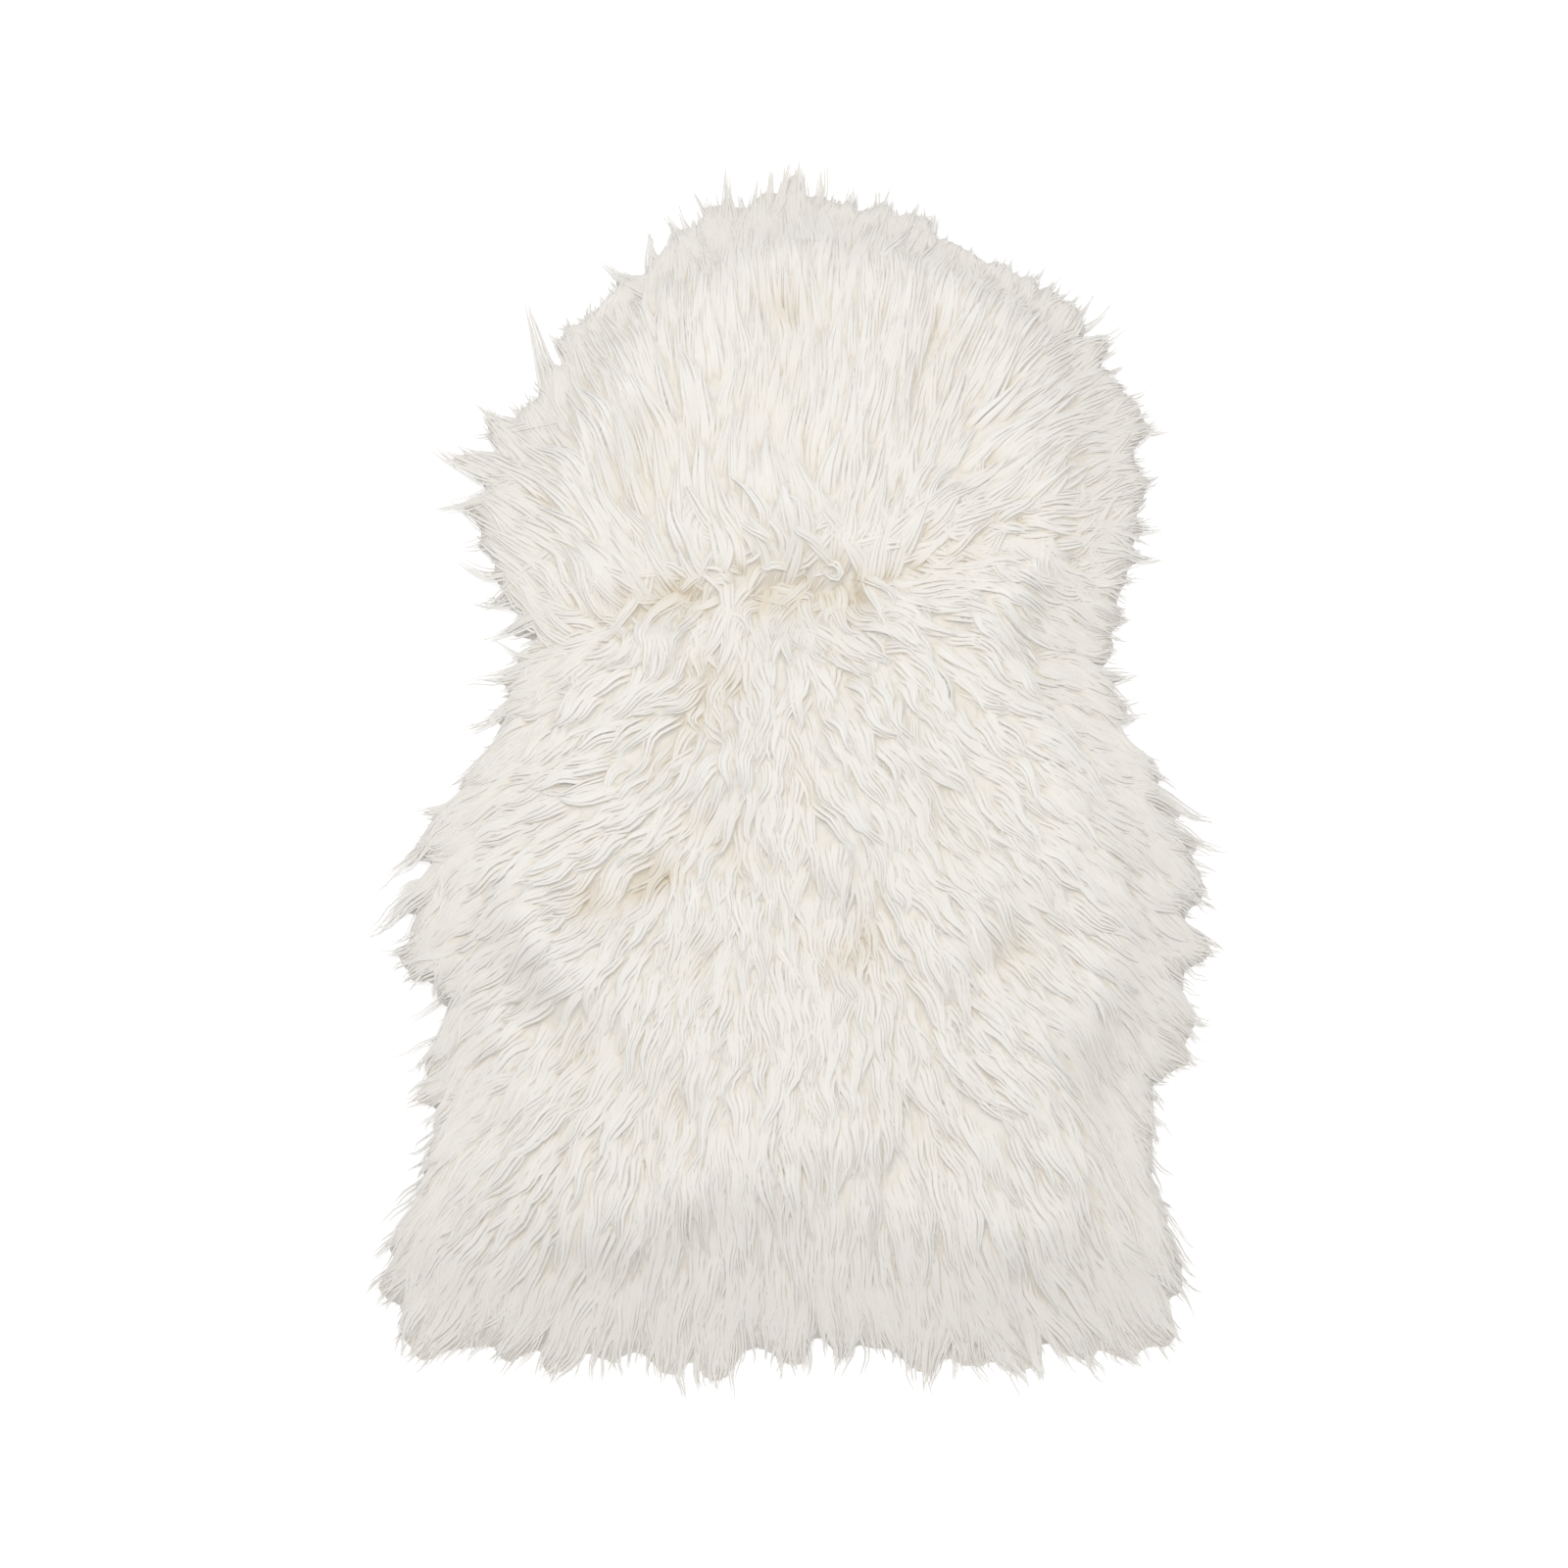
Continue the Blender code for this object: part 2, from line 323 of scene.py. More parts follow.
class Number:
    """A number socket, on which Python's arithmetic builds Math nodes."""

    def __init__(self, shader: "Shader", socket: bpy.types.NodeSocket) -> None:
        """Wrap a socket.

        Args:
            shader: The shader whose tree has the socket.
            socket: The socket.
        """
        self.shader = shader
        self.socket = socket

    def math(self, operation: str, *others: Any) -> "Number":
        """A Math node of that operation on this number and the others."""
        values = {place: value for place, value in enumerate((self, *others))}
        made = self.shader.node("ShaderNodeMath", {"operation": operation}, values)
        return Number(self.shader, made.outputs[0])

    def swapped(self, operation: str, other: Any) -> "Number":
        """A Math node of that operation on other and then this number."""
        made = self.shader.node("ShaderNodeMath", {"operation": operation}, {0: other, 1: self})
        return Number(self.shader, made.outputs[0])

    def __add__(self, other: Any) -> "Number":
        """This plus other."""
        return self.math("ADD", other)

    def __sub__(self, other: Any) -> "Number":
        """This less other."""
        return self.math("SUBTRACT", other)

    def __mul__(self, other: Any) -> "Number":
        """This times other."""
        return self.math("MULTIPLY", other)

    def __rsub__(self, other: Any) -> "Number":
        """Other less this."""
        return self.swapped("SUBTRACT", other)

    __radd__ = __add__
    __rmul__ = __mul__


class Shader:
    """A material's node tree, built node by node."""

    def __init__(self, name: str) -> None:
        """Start an empty material.

        Args:
            name: Its name.
        """
        self.material = bpy.data.materials.new(name)
        self.material.use_nodes = True
        self.tree = self.material.node_tree
        self.tree.nodes.clear()

    def node(self, kind: str, settings: dict[str, Any], inputs: dict[Any, Any]) -> bpy.types.Node:
        """Add a node.

        Args:
            kind: The node's type.
            settings: Its properties by name, set first; "stops" are a ramp's (place, colour).
            inputs: Its sockets by name or number, each with a value, a socket or a Number.

        Returns:
            The new node.
        """
        made = self.tree.nodes.new(kind)
        for name, value in settings.items():
            if name == "stops":
                self.set_stops(made.color_ramp, value)
            else:
                setattr(made, name, value)
        for name, value in inputs.items():
            value = value.socket if isinstance(value, Number) else value
            if isinstance(value, bpy.types.NodeSocket):
                self.tree.links.new(value, made.inputs[name])
            else:
                made.inputs[name].default_value = value
        return made

    @staticmethod
    def set_stops(ramp: bpy.types.ColorRamp, stops: list[tuple[float, Colour]]) -> None:
        """Give a new ramp its stops.

        Args:
            ramp: The ramp, which has two stops at first.
            stops: Places and colours, from low to high.
        """
        for _ in stops[2:]:
            ramp.elements.new(0.5)
        # The ramp keeps its stops in order, so all of them get their places first.
        for element, (place, _) in zip(ramp.elements, stops):
            element.position = place
        for element, (_, colour) in zip(ramp.elements, stops):
            element.color = (*colour, 1.0)

    def number(self, kind: str, settings: dict[str, Any], inputs: dict[Any, Any], out: Any = 0) -> Number:
        """The chosen output of a new node, as a Number."""
        return Number(self, self.node(kind, settings, inputs).outputs[out])

    def object_place(self) -> bpy.types.NodeSocket:
        """The place on the object, in its own coordinates."""
        return self.node("ShaderNodeTexCoord", {}, {}).outputs["Object"]

    def noise(self, place: bpy.types.NodeSocket, scale: float, detail: float) -> Number:
        """Cloudy noise from 0 to 1 at that place."""
        inputs = {"Vector": place, "Scale": scale, "Detail": detail}
        return self.number("ShaderNodeTexNoise", {}, inputs)

    def bump(self, strength: float, distance: float, height: Number) -> bpy.types.NodeSocket:
        """The surface's normal, bent by a height."""
        inputs = {"Strength": strength, "Distance": distance, "Height": height}
        return self.node("ShaderNodeBump", {}, inputs).outputs[0]

    def mixed(self, factor: Any, first: Any, second: Any) -> bpy.types.NodeSocket:
        """Colour between first, at factor 0, and second, at factor 1."""
        first, second = [(*c, 1.0) if isinstance(c, tuple) else c for c in (first, second)]
        made = self.node("ShaderNodeMix", {"data_type": "RGBA"}, {0: factor, 6: first, 7: second})
        return made.outputs[2]

    def finished(self, surface: dict[str, Any]) -> bpy.types.Material:
        """Close the tree with a Principled surface and return the material.

        Args:
            surface: The Principled sockets by name, each with a value or a link.

        Returns:
            The material.
        """
        principled = self.node("ShaderNodeBsdfPrincipled", {}, surface)
        self.node("ShaderNodeOutputMaterial", {}, {0: principled.outputs[0]})
        return self.material


@dataclass(frozen=True)
class WoolFinish:
    """Strands: a tan root under unstained ivory wool, each strand of its own faint tint, with painted
    shade on its sides, where it lies sunk and in hollows.
    """

    ivory: Colour = (0.872, 0.862, 0.842)
    root: Colour = (0.68, 0.58, 0.43)
    warm: Colour = (0.84, 0.797, 0.72)
    dull: Colour = (0.80, 0.784, 0.76)
    # The side colour is painted shade on each strand's sides, away from its top ridge.
    side: Colour = (0.70, 0.67, 0.62)
    stops: tuple[float, ...] = (0.0, 0.35, 0.75, 1.0)
    dull_share: float = 0.6
    side_shade_share: float = 0.65
    side_shade_sharpness: float = 2.5
    fibre_scale: tuple[float, float, float] = (70.0, 5.0, 1.0)
    fibre_detail: float = 3.0
    fibre_height: float = 0.5 * MM

    def material(self) -> bpy.types.Material:
        """Colour from the strand's own map.

        Returns:
            The material. In the map u picks one of the tint columns and runs round the strand
            within it, with the strand's under side in the middle, and v is how pale it is, lowered by
            painted shade. The strand's sides, away from its top ridge, take the side colour as painted
            shade.
        """
        shader = Shader("ivory_wool")
        place = shader.node("ShaderNodeUVMap", {"uv_map": "OFBake"}, {})
        parts = shader.node("ShaderNodeSeparateXYZ", {}, {0: place.outputs[0]})
        u, v = Number(shader, parts.outputs[0]), Number(shader, parts.outputs[1])
        stops = list(zip(self.stops, (self.root, self.warm, self.ivory, self.ivory)))
        ramp = shader.node("ShaderNodeValToRGB", {"stops": stops}, {0: v})
        column = u * float(TINTS)
        whole = column.math("FLOOR")
        tint = shader.number("ShaderNodeTexWhiteNoise", {"noise_dimensions": "1D"}, {"W": whole})
        drawn_out = {"Vector": place.outputs[0], "Scale": self.fibre_scale}
        fibre = shader.node("ShaderNodeMapping", {}, drawn_out).outputs[0]
        streak = shader.noise(fibre, 1.0, self.fibre_detail)
        # Painted shade: each strand's sides, away from its top ridge, are mixed towards the side colour.
        under = 1.0 - (column.math("FRACT") - 0.5).math("ABSOLUTE") * self.side_shade_sharpness
        colour = shader.mixed((tint + streak - 0.5) * self.dull_share, ramp.outputs[0], self.dull)
        colour = shader.mixed(under * self.side_shade_share, colour, self.side)
        bump = shader.bump(0.8, self.fibre_height, streak)
        return shader.finished(
            {
                "Base Color": colour,
                "Roughness": 0.55 + streak * 0.2,
                "Sheen Weight": 0.35,
                "Sheen Roughness": 0.45,
                "Specular IOR Level": 0.25,
                "Normal": bump,
            }
        )


@dataclass(frozen=True)
class ShadedUnderWoolFinish:
    """The body of the wool, darker than the strands as painted shade between them: tan in its hollows,
    partly the open wool's own tan and partly painted shade, ivory on its ridges, with fine crimped fibres.
    """

    # Its colours are darker than the strands' as painted shade; the deep tan of the hollows is partly the
    # open wool's own and partly painted shade.
    ivory: Colour = (0.80, 0.786, 0.757)
    warm: Colour = (0.77, 0.728, 0.655)
    deep: Colour = (0.67, 0.585, 0.45)
    stops: tuple[float, ...] = (0.0, 0.35, 0.7)
    broad_scale: float = 120.0
    broad_share: float = 0.3
    fine_scale: float = 700.0
    crimp_height: float = 0.6 * MM

    def material(self) -> bpy.types.Material:
        """Colour from the surface's own share of paleness and painted shade.

        Returns:
            The material. Broad noise shifts its colour, and fine noise joins it in the bump.
        """
        shader = Shader("under_wool_shaded")
        place = shader.object_place()
        clean = shader.number("ShaderNodeAttribute", {"attribute_name": "cleanness"}, {}, "Fac")
        broad = shader.noise(place, self.broad_scale, 3.0)
        fine = shader.noise(place, self.fine_scale, 3.0)
        stops = list(zip(self.stops, (self.deep, self.warm, self.ivory)))
        clean = clean + (broad - 0.5) * self.broad_share
        colour = shader.node("ShaderNodeValToRGB", {"stops": stops}, {0: clean})
        bump = shader.bump(0.4, self.crimp_height, fine + broad)
        return shader.finished(
            {
                "Base Color": colour.outputs[0],
                "Roughness": 0.8 + fine * 0.2,
                "Sheen Weight": 0.3,
                "Specular IOR Level": 0.15,
                "Normal": bump,
            }
        )


@dataclass(frozen=True)
class HideFinish:
    """The tanned underside: matt suede with faint pores and cloudy colour."""

    pale: Colour = (0.72, 0.62, 0.47)
    dark: Colour = (0.58, 0.47, 0.33)
    cloud_scale: float = 9.0
    nap_scale: float = 420.0
    pore_scale: float = 260.0
    nap_share: float = 0.4
    nap_height: float = 0.4 * MM

    def material(self) -> bpy.types.Material:
        """Colour from cloudy noise.

        Returns:
            The material. Pores and a nap make its bump.
        """
        shader = Shader("tanned_hide")
        place = shader.object_place()
        cloud = shader.noise(place, self.cloud_scale, 5.0)
        nap = shader.noise(place, self.nap_scale, 4.0)
        pores = {"Vector": place, "Scale": self.pore_scale}
        pores = shader.number("ShaderNodeTexVoronoi", {}, pores)
        colour = shader.mixed(cloud + (nap - 0.5) * self.nap_share, self.dark, self.pale)
        bump = shader.bump(0.5, self.nap_height, nap + pores)
        return shader.finished(
            {
                "Base Color": colour,
                "Roughness": 0.75 + nap * 0.2,
                "Sheen Weight": 0.3,
                "Specular IOR Level": 0.2,
                "Normal": bump,
            }
        )


@dataclass(frozen=True)
class FloorFinish:
    """A plain pale floor, lit a little from below as a light table is."""

    colour: Colour = (0.55, 0.55, 0.55)
    glow: float = 0.62

    def material(self) -> bpy.types.Material:
        """A matt surface with a faint even glow.

        Returns:
            The material.
        """
        shader = Shader("pale_floor")
        return shader.finished(
            {
                "Base Color": (*self.colour, 1.0),
                "Roughness": 0.9,
                "Specular IOR Level": 0.1,
                "Emission Color": (1.0, 1.0, 1.0, 1.0),
                "Emission Strength": self.glow,
            }
        )


# What the photograph shows of the wool


class PartingPoint(NamedTuple):
    """A point of the line across the shoulders that the wool runs away from."""

    x: float
    y: float


class Coat(NamedTuple):
    """How the wool grows at one distance past the parting.

    Its locks have a length, the height of their wave, the angle in radians by which they tangle,
    the share by which they lean on their tufts, and the height of their arch.
    """

    name: str
    past: float
    length: float
    wave: float
    tangle: float
    lean: float
    lift: float


class RimReach(NamedTuple):
    """How far the wool reaches past the rim at one bearing from the middle, in degrees from +X."""

    name: str
    bearing: float
    reach: float


class Wisp(NamedTuple):
    """A long wisp at the rim: its tip, its heading in degrees from +X and its length."""

    name: str
    x: float
    y: float
    heading: float
    length: float


PARTING = (
    PartingPoint(-0.26, 0.035),
    PartingPoint(-0.14, 0.066),
    PartingPoint(-0.07, 0.094),
    PartingPoint(0.00, 0.103),
    PartingPoint(0.06, 0.100),
    PartingPoint(0.14, 0.135),
    PartingPoint(0.26, 0.148),
)

COATS = (
    Coat("tail", past=-0.50, length=0.075, wave=2.0 * MM, tangle=0.14, lean=0.35, lift=1.0 * MM),
    Coat("loin", past=-0.34, length=0.064, wave=2.6 * MM, tangle=0.18, lean=0.35, lift=1.5 * MM),
    Coat("back", past=-0.20, length=0.062, wave=2.8 * MM, tangle=0.24, lean=0.40, lift=2.0 * MM),
    Coat("withers", past=-0.08, length=0.056, wave=2.8 * MM, tangle=0.42, lean=0.60, lift=3.5 * MM),
    Coat("whorl", past=-0.02, length=0.046, wave=2.0 * MM, tangle=0.70, lean=0.60, lift=4.0 * MM),
    Coat("crown", past=0.02, length=0.060, wave=1.0 * MM, tangle=0.40, lean=0.35, lift=3.0 * MM),
    Coat("shoulders", past=0.08, length=0.078, wave=0.6 * MM, tangle=0.22, lean=0.30, lift=2.0 * MM),
    Coat("neck", past=0.18, length=0.080, wave=0.4 * MM, tangle=0.16, lean=0.35, lift=1.5 * MM),
    Coat("crest", past=0.32, length=0.082, wave=0.4 * MM, tangle=0.13, lean=0.55, lift=1.0 * MM),
)

RIM_REACHES = (
    RimReach("tail", -90, 0.041),
    RimReach("tail_corner_right", -60, 0.084),
    RimReach("thigh_right", -46, 0.050),
    RimReach("flank_right", -20, 0.047),
    RimReach("waist_right", 25, 0.036),
    RimReach("neck_right", 55, 0.028),
    RimReach("neck_end_right", 70, 0.012),
    RimReach("neck_end", 90, 0.042),
    RimReach("neck_left", 114, 0.024),
    RimReach("neck_left_low", 138, 0.046),
    RimReach("shoulder_left", 153, 0.094),
    RimReach("waist_left", 174, 0.062),
    RimReach("flank_left", 200, 0.046),
    RimReach("thigh_left", 222, 0.038),
    RimReach("tail_corner_left", 241, 0.088),
)

WISPS = (
    Wisp("crest_left", -0.046, 0.473, 90, 0.110),
    Wisp("crest_middle", 0.012, 0.472, 91, 0.119),
    Wisp("crest_right", 0.051, 0.468, 84, 0.114),
    Wisp("crest_far_left", -0.100, 0.428, 123, 0.113),
    Wisp("crest_far_right", 0.107, 0.430, 64, 0.097),
    Wisp("neck_left_high", -0.195, 0.351, 105, 0.105),
    Wisp("neck_left_curl", -0.166, 0.341, 110, 0.079),
    Wisp("neck_left_top", -0.147, 0.391, 135, 0.069),
    Wisp("neck_left_low", -0.237, 0.235, -177, 0.078),
    Wisp("shoulder_left", -0.269, 0.173, -170, 0.085),
    Wisp("shoulder_left_low", -0.228, 0.092, -153, 0.073),
    Wisp("shoulder_left_middle", -0.245, 0.144, -174, 0.073),
    Wisp("waist_left_high", -0.223, 0.070, -162, 0.068),
    Wisp("waist_left", -0.239, 0.039, -173, 0.086),
    Wisp("waist_left_low", -0.236, -0.002, -156, 0.073),
    Wisp("flank_left_high", -0.251, -0.050, -148, 0.081),
    Wisp("flank_left", -0.290, -0.124, -134, 0.092),
    Wisp("flank_left_point", -0.298, -0.159, -141, 0.076),
    Wisp("flank_left_low", -0.273, -0.173, -150, 0.051),
    Wisp("flank_left_tail", -0.259, -0.265, -126, 0.075),
    Wisp("thigh_left", -0.255, -0.279, -164, 0.067),
    Wisp("thigh_left_low", -0.243, -0.304, -157, 0.056),
    Wisp("neck_right_top", 0.202, 0.359, 51, 0.077),
    Wisp("neck_right_high", 0.284, 0.241, 5, 0.073),
    Wisp("neck_right", 0.274, 0.207, 22, 0.072),
    Wisp("neck_right_middle", 0.282, 0.166, 15, 0.072),
    Wisp("neck_right_low", 0.277, 0.136, 0, 0.069),
    Wisp("waist_right", 0.254, 0.043, 2, 0.056),
    Wisp("flank_right_high", 0.278, -0.048, -41, 0.082),
    Wisp("flank_right", 0.307, -0.074, -24, 0.077),
    Wisp("flank_right_point", 0.313, -0.096, -23, 0.076),
    Wisp("flank_right_low", 0.301, -0.112, -32, 0.055),
    Wisp("flank_right_round", 0.291, -0.202, -27, 0.067),
    Wisp("hip_right", 0.257, -0.309, -28, 0.058),
    Wisp("thigh_right", 0.264, -0.354, -31, 0.062),
    Wisp("thigh_right_low", 0.269, -0.401, -30, 0.062),
    Wisp("tail_corner_right_high", 0.270, -0.416, -34, 0.066),
    Wisp("tail_corner_right", 0.267, -0.440, -41, 0.070),
    Wisp("tail_corner_right_middle", 0.258, -0.452, -56, 0.074),
    Wisp("tail_corner_right_low", 0.247, -0.460, -61, 0.072),
    Wisp("tail_corner_left_high", -0.279, -0.407, -145, 0.066),
    Wisp("tail_corner_left", -0.282, -0.422, -144, 0.068),
    Wisp("tail_corner_left_middle", -0.270, -0.436, -136, 0.072),
    Wisp("tail_corner_left_low", -0.258, -0.447, -127, 0.068),
    Wisp("tail_left", -0.026, -0.451, -94, 0.051),
    Wisp("tail_middle", 0.016, -0.450, -88, 0.058),
)


def rim_reach_at(place: Array) -> Array:
    """How far the wool reaches past the rim at each place's bearing from the middle."""
    bearing = np.degrees(np.arctan2(place[:, 1], place[:, 0]))
    return np.interp(bearing, [r.bearing for r in RIM_REACHES], [r.reach for r in RIM_REACHES], period=360)


def past_parting(place: Array) -> Array:
    """Distance along the back from the parting at each place, above 0 towards the neck."""
    return place[..., 1] - np.interp(place[..., 0], [p.x for p in PARTING], [p.y for p in PARTING])


def coat_at(place: Array, quality: str) -> Array:
    """A quality of the coat at each place, blended between the rows of COATS."""
    past = past_parting(place)
    return np.interp(past, [c.past for c in COATS], [getattr(c, quality) for c in COATS])


# The rug


@dataclass(frozen=True)
class Lay:
    """The direction in which the wool lies."""

    spine_x: float = -0.003
    side: float = 0.22
    side_power: float = 1.4
    forward_start: float = 0.25
    forward_reach: float = 0.20
    back_start: float = 0.15
    back_reach: float = 0.42

    def angle(self, place: Array, forward: Array) -> Array:
        """Angle from +X of the lay at each place.

        Args:
            place: Level places, as (point, axis).
            forward: True where the wool runs towards the neck.

        Returns:
            Angles in radians. The sideways share grows with the distance from the spine to a
            power. The lengthwise share grows with the distance from the parting, forward
            before it and back behind it.
        """
        past = past_parting(place)
        aside = place[:, 0] - self.spine_x
        sideways_share = np.sign(aside) * np.abs(aside / self.side) ** self.side_power
        ahead = self.forward_start + past / self.forward_reach
        back = -self.back_start + past / self.back_reach
        return np.arctan2(np.where(forward, ahead, back), sideways_share)


class Lump(NamedTuple):
    """The wool's soft lumps of one size: how far they rise and sink, and their noise."""

    rise: float
    noise: Noise


@dataclass
class Ground:
    """The form of the pelt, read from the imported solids."""

    # The grid, and how the solids are read into it
    pitch: float = 3 * MM
    margin: float = 90 * MM
    triangle_steps: int = 16
    top_softness: float = 3 * MM
    hide_inset: float = 22 * MM
    # The skirt at the rim, the bulge within it and the lumps
    rim_height: float = 23 * MM
    rim_slope: float = 0.50
    tip_height: float = 2.2 * MM
    skirt_reach: float = 34 * MM
    bulge: float = 5 * MM
    bulge_reach: float = 75 * MM
    lumps: tuple[Lump, ...] = (
        Lump(rise=2.4 * MM, noise=Noise(seed=40, cell=36 * MM, start=(30, 30))),
        Lump(rise=1.3 * MM, noise=Noise(seed=41, cell=17 * MM, start=(30, 30))),
    )
    lump_reach: float = 40 * MM
    lump_softness: float = 4 * MM
    # How far the broad form goes, and how much of what lies below it is filled
    broad_reach: float = 26 * MM
    filled_share: float = 0.35
    filled_depth: float = 12 * MM
    # The hollows in which the wool lies open, darkened in colour by its own tan and by painted shade
    shallow: float = 2.4 * MM
    deep: float = 7.4 * MM
    shallow_share: float = 0.2
    hollow_patches: Noise = Noise(seed=50, cell=15 * MM, start=(40, 40))
    patch_shares: tuple[float, float] = (0.45, 0.95)
    hollow_turn: float = 200 * MM
    hollow_turns: tuple[float, float] = (0.5, 1.6)
    hollow_softness: float = 5 * MM
    # What is worked out from them
    outline: Array = field(init=False)
    inside: Field = field(init=False)
    height: Field = field(init=False)
    hollow: Field = field(init=False)

    def __post_init__(self) -> None:
        """Read the outline, then the distance from the rim, the height and the hollows."""
        self.outline = self.read_outline()
        place = level_grid(self.margin, self.pitch)
        distance = self.signed_distance(place) + self.hide_inset
        self.inside = Field(place[0, 0], self.pitch, distance)
        lumpy = self.inside.like(self.lumpy_height(place)).blurred(self.lump_softness)
        below = lumpy.blurred(self.broad_reach).values - lumpy.values
        filled = self.filled_share * np.clip(below, 0, self.filled_depth)
        self.height = self.inside.like(lumpy.values + filled * eased(distance / self.lump_reach))
        self.hollow = self.inside.like(self.hollows(place, below)).blurred(self.hollow_softness)

    def lumpy_height(self, place: Array) -> Array:
        """Height of the wool at the grid's points.

        Args:
            place: Their places, as (column, row, axis).

        Returns:
            Heights. Near the rim the solid's top is raised to a skirt, a slope that bends level
            at the height of the tips. A low bulge follows it inwards, and lumps of noise.
        """
        distance = self.inside.values
        skirt = (self.rim_height + self.rim_slope * distance) / self.tip_height - 1
        skirt = (1 + np.logaddexp(0, skirt)) * self.tip_height
        top = self.inside.like(self.read_top()).blurred(self.top_softness).values
        height = top + np.maximum(skirt - top, 0) * (1 - eased(distance / self.skirt_reach))
        height += self.bulge * np.sin(np.pi * np.clip(distance / self.bulge_reach, 0, 1))
        lumps = sum(lump.rise * lump.noise.at(place) for lump in self.lumps)
        return height + eased(distance / self.lump_reach) * lumps

    def hollows(self, place: Array, below: Array) -> Array:
        """How much the wool lies open at the grid's points.

        Args:
            place: Their places, as (column, row, axis).
            below: How far the wool lies below its broad form there.

        Returns:
            Shares from 0 to 1, which rise slowly while the wool is shallow and then to the
            deep, fade out towards the rim, come in patches, and are larger on the left. They darken
            the wool's colour towards tan, partly the open wool's own tan and partly painted shade.
        """
        open_share = np.clip((below - self.shallow) / (self.deep - self.shallow), 0, 1)
        open_share += self.shallow_share * np.clip(below / self.shallow, 0, 1)
        away = eased((self.inside.values - self.lump_reach) / self.lump_reach)
        left = np.clip(1 - place[..., 0] / self.hollow_turn, *self.hollow_turns)
        least, most = self.patch_shares
        patches = least + (most - least) * eased(0.5 + self.hollow_patches.at(place))
        return np.clip(open_share * away * left * patches, 0, 1)

    @staticmethod
    def corners(node: str) -> Array:
        """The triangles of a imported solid.

        Args:
            node: The solid's name.

        Returns:
            Corner places, as (triangle, corner, axis).
        """
        mesh = frame["nodes"][node].data
        mesh.calc_loop_triangles()
        places = np.empty(len(mesh.vertices) * 3)
        mesh.vertices.foreach_get("co", places)
        numbers = np.empty(len(mesh.loop_triangles) * 3, int)
        mesh.loop_triangles.foreach_get("vertices", numbers)
        return places.reshape(-1, 3)[numbers].reshape(-1, 3, 3)

    def read_outline(self) -> Array:
        """The hide's cut edge, once round, anticlockwise from -X, as (point, axis)."""
        places = np.unique(self.corners("hide").reshape(-1, 3)[:, :2].round(6), axis=0)
        return places[np.argsort(np.arctan2(places[:, 1], places[:, 0]))]

    def read_top(self) -> Array:
        """Highest point of the fleece solid over each cell of the grid.

        Returns:
            Heights. Each triangle is read at an even spread of its points, and each point
            raises the cell that it falls in.
        """
        steps = np.arange(self.triangle_steps + 1)
        first, second = np.meshgrid(steps, steps, indexing="ij")
        parts = np.stack([first, second, self.triangle_steps - first - second], -1)
        shares = parts[parts[..., 2] >= 0] / self.triangle_steps
        points = (shares[None] @ self.corners("fleece")).reshape(-1, 3)
        cells = ((points[:, :2] - self.inside.low) / self.pitch).round().astype(int)
        top = np.zeros(self.inside.values.shape)
        np.maximum.at(top, (cells[:, 0], cells[:, 1]), points[:, 2])
        return top

    def signed_distance(self, place: Array) -> Array:
        """Distance of each place from the hide's outline.

        Args:
            place: Level places, as (column, row, axis).

        Returns:
            Distances, above 0 inside the outline, where a line from the place towards +X
            crosses it an odd number of times.
        """
        x, y = place[..., 0], place[..., 1]
        run = np.roll(self.outline, -1, axis=0) - self.outline
        best, crossings = np.full(x.shape, np.inf), np.zeros(x.shape, int)
        for (ax, ay), (rx, ry) in zip(self.outline, run):
            share = np.clip(((x - ax) * rx + (y - ay) * ry) / (rx * rx + ry * ry), 0, 1)
            best = np.minimum(best, np.hypot(x - ax - share * rx, y - ay - share * ry))
            spans = (ay > y) != (ay + ry > y)
            crossings += spans & (x < ax + (y - ay) * rx / (ry if ry else 1.0))
        return np.where(crossings % 2 == 1, best, -best)


def side_points(outline: Array, first: int, last: int, count: int) -> Array:
    """Points spread evenly along an outline.

    Args:
        outline: The outline's points once round, anticlockwise, as (point, axis).
        first: Number of the outline's point to start from.
        last: Number of the point to end at.
        count: Number of equal steps between them.

    Returns:
        Places, as (point, axis).
    """
    run = np.roll(outline, -first, axis=0)[: (last - first) % len(outline) + 1]
    far = np.concatenate([[0], np.cumsum(np.linalg.norm(np.diff(run, axis=0), axis=1))])
    at = np.linspace(0, far[-1], count + 1)
    return np.stack([np.interp(at, far, run[:, axis]) for axis in range(2)], 1)


def filled_outline(columns: int, rows: int, outline: Array) -> Array:
    """A grid of level points that fills an outline, with its border on the outline.

    Args:
        columns: Number of cells across.
        rows: Number of cells along.
        outline: The outline's points once round, anticlockwise, as (point, axis).

    Returns:
        Places, as (column, row, axis). The outline's four furthest points by the diagonals
        part it into sides. A place is the blend of the near and the far side, plus that of the
        left and the right side, less that of the four points.
    """
    diagonals = np.array([(-1, -1), (1, -1), (1, 1), (-1, 1)])
    a, b, c, d = np.argmax(outline @ diagonals.T, axis=0)
    near = side_points(outline, a, b, columns)[:, None]
    right = side_points(outline, b, c, rows)[None]
    far = side_points(outline, c, d, columns)[::-1][:, None]
    left = side_points(outline, d, a, rows)[::-1][None]
    s = np.linspace(0, 1, columns + 1)[:, None, None]
    t = np.linspace(0, 1, rows + 1)[None, :, None]
    ends = (1 - s) * ((1 - t) * near[:1] + t * far[:1]) + s * ((1 - t) * near[-1:] + t * far[-1:])
    return (1 - t) * near + t * far + (1 - s) * left + s * right - ends


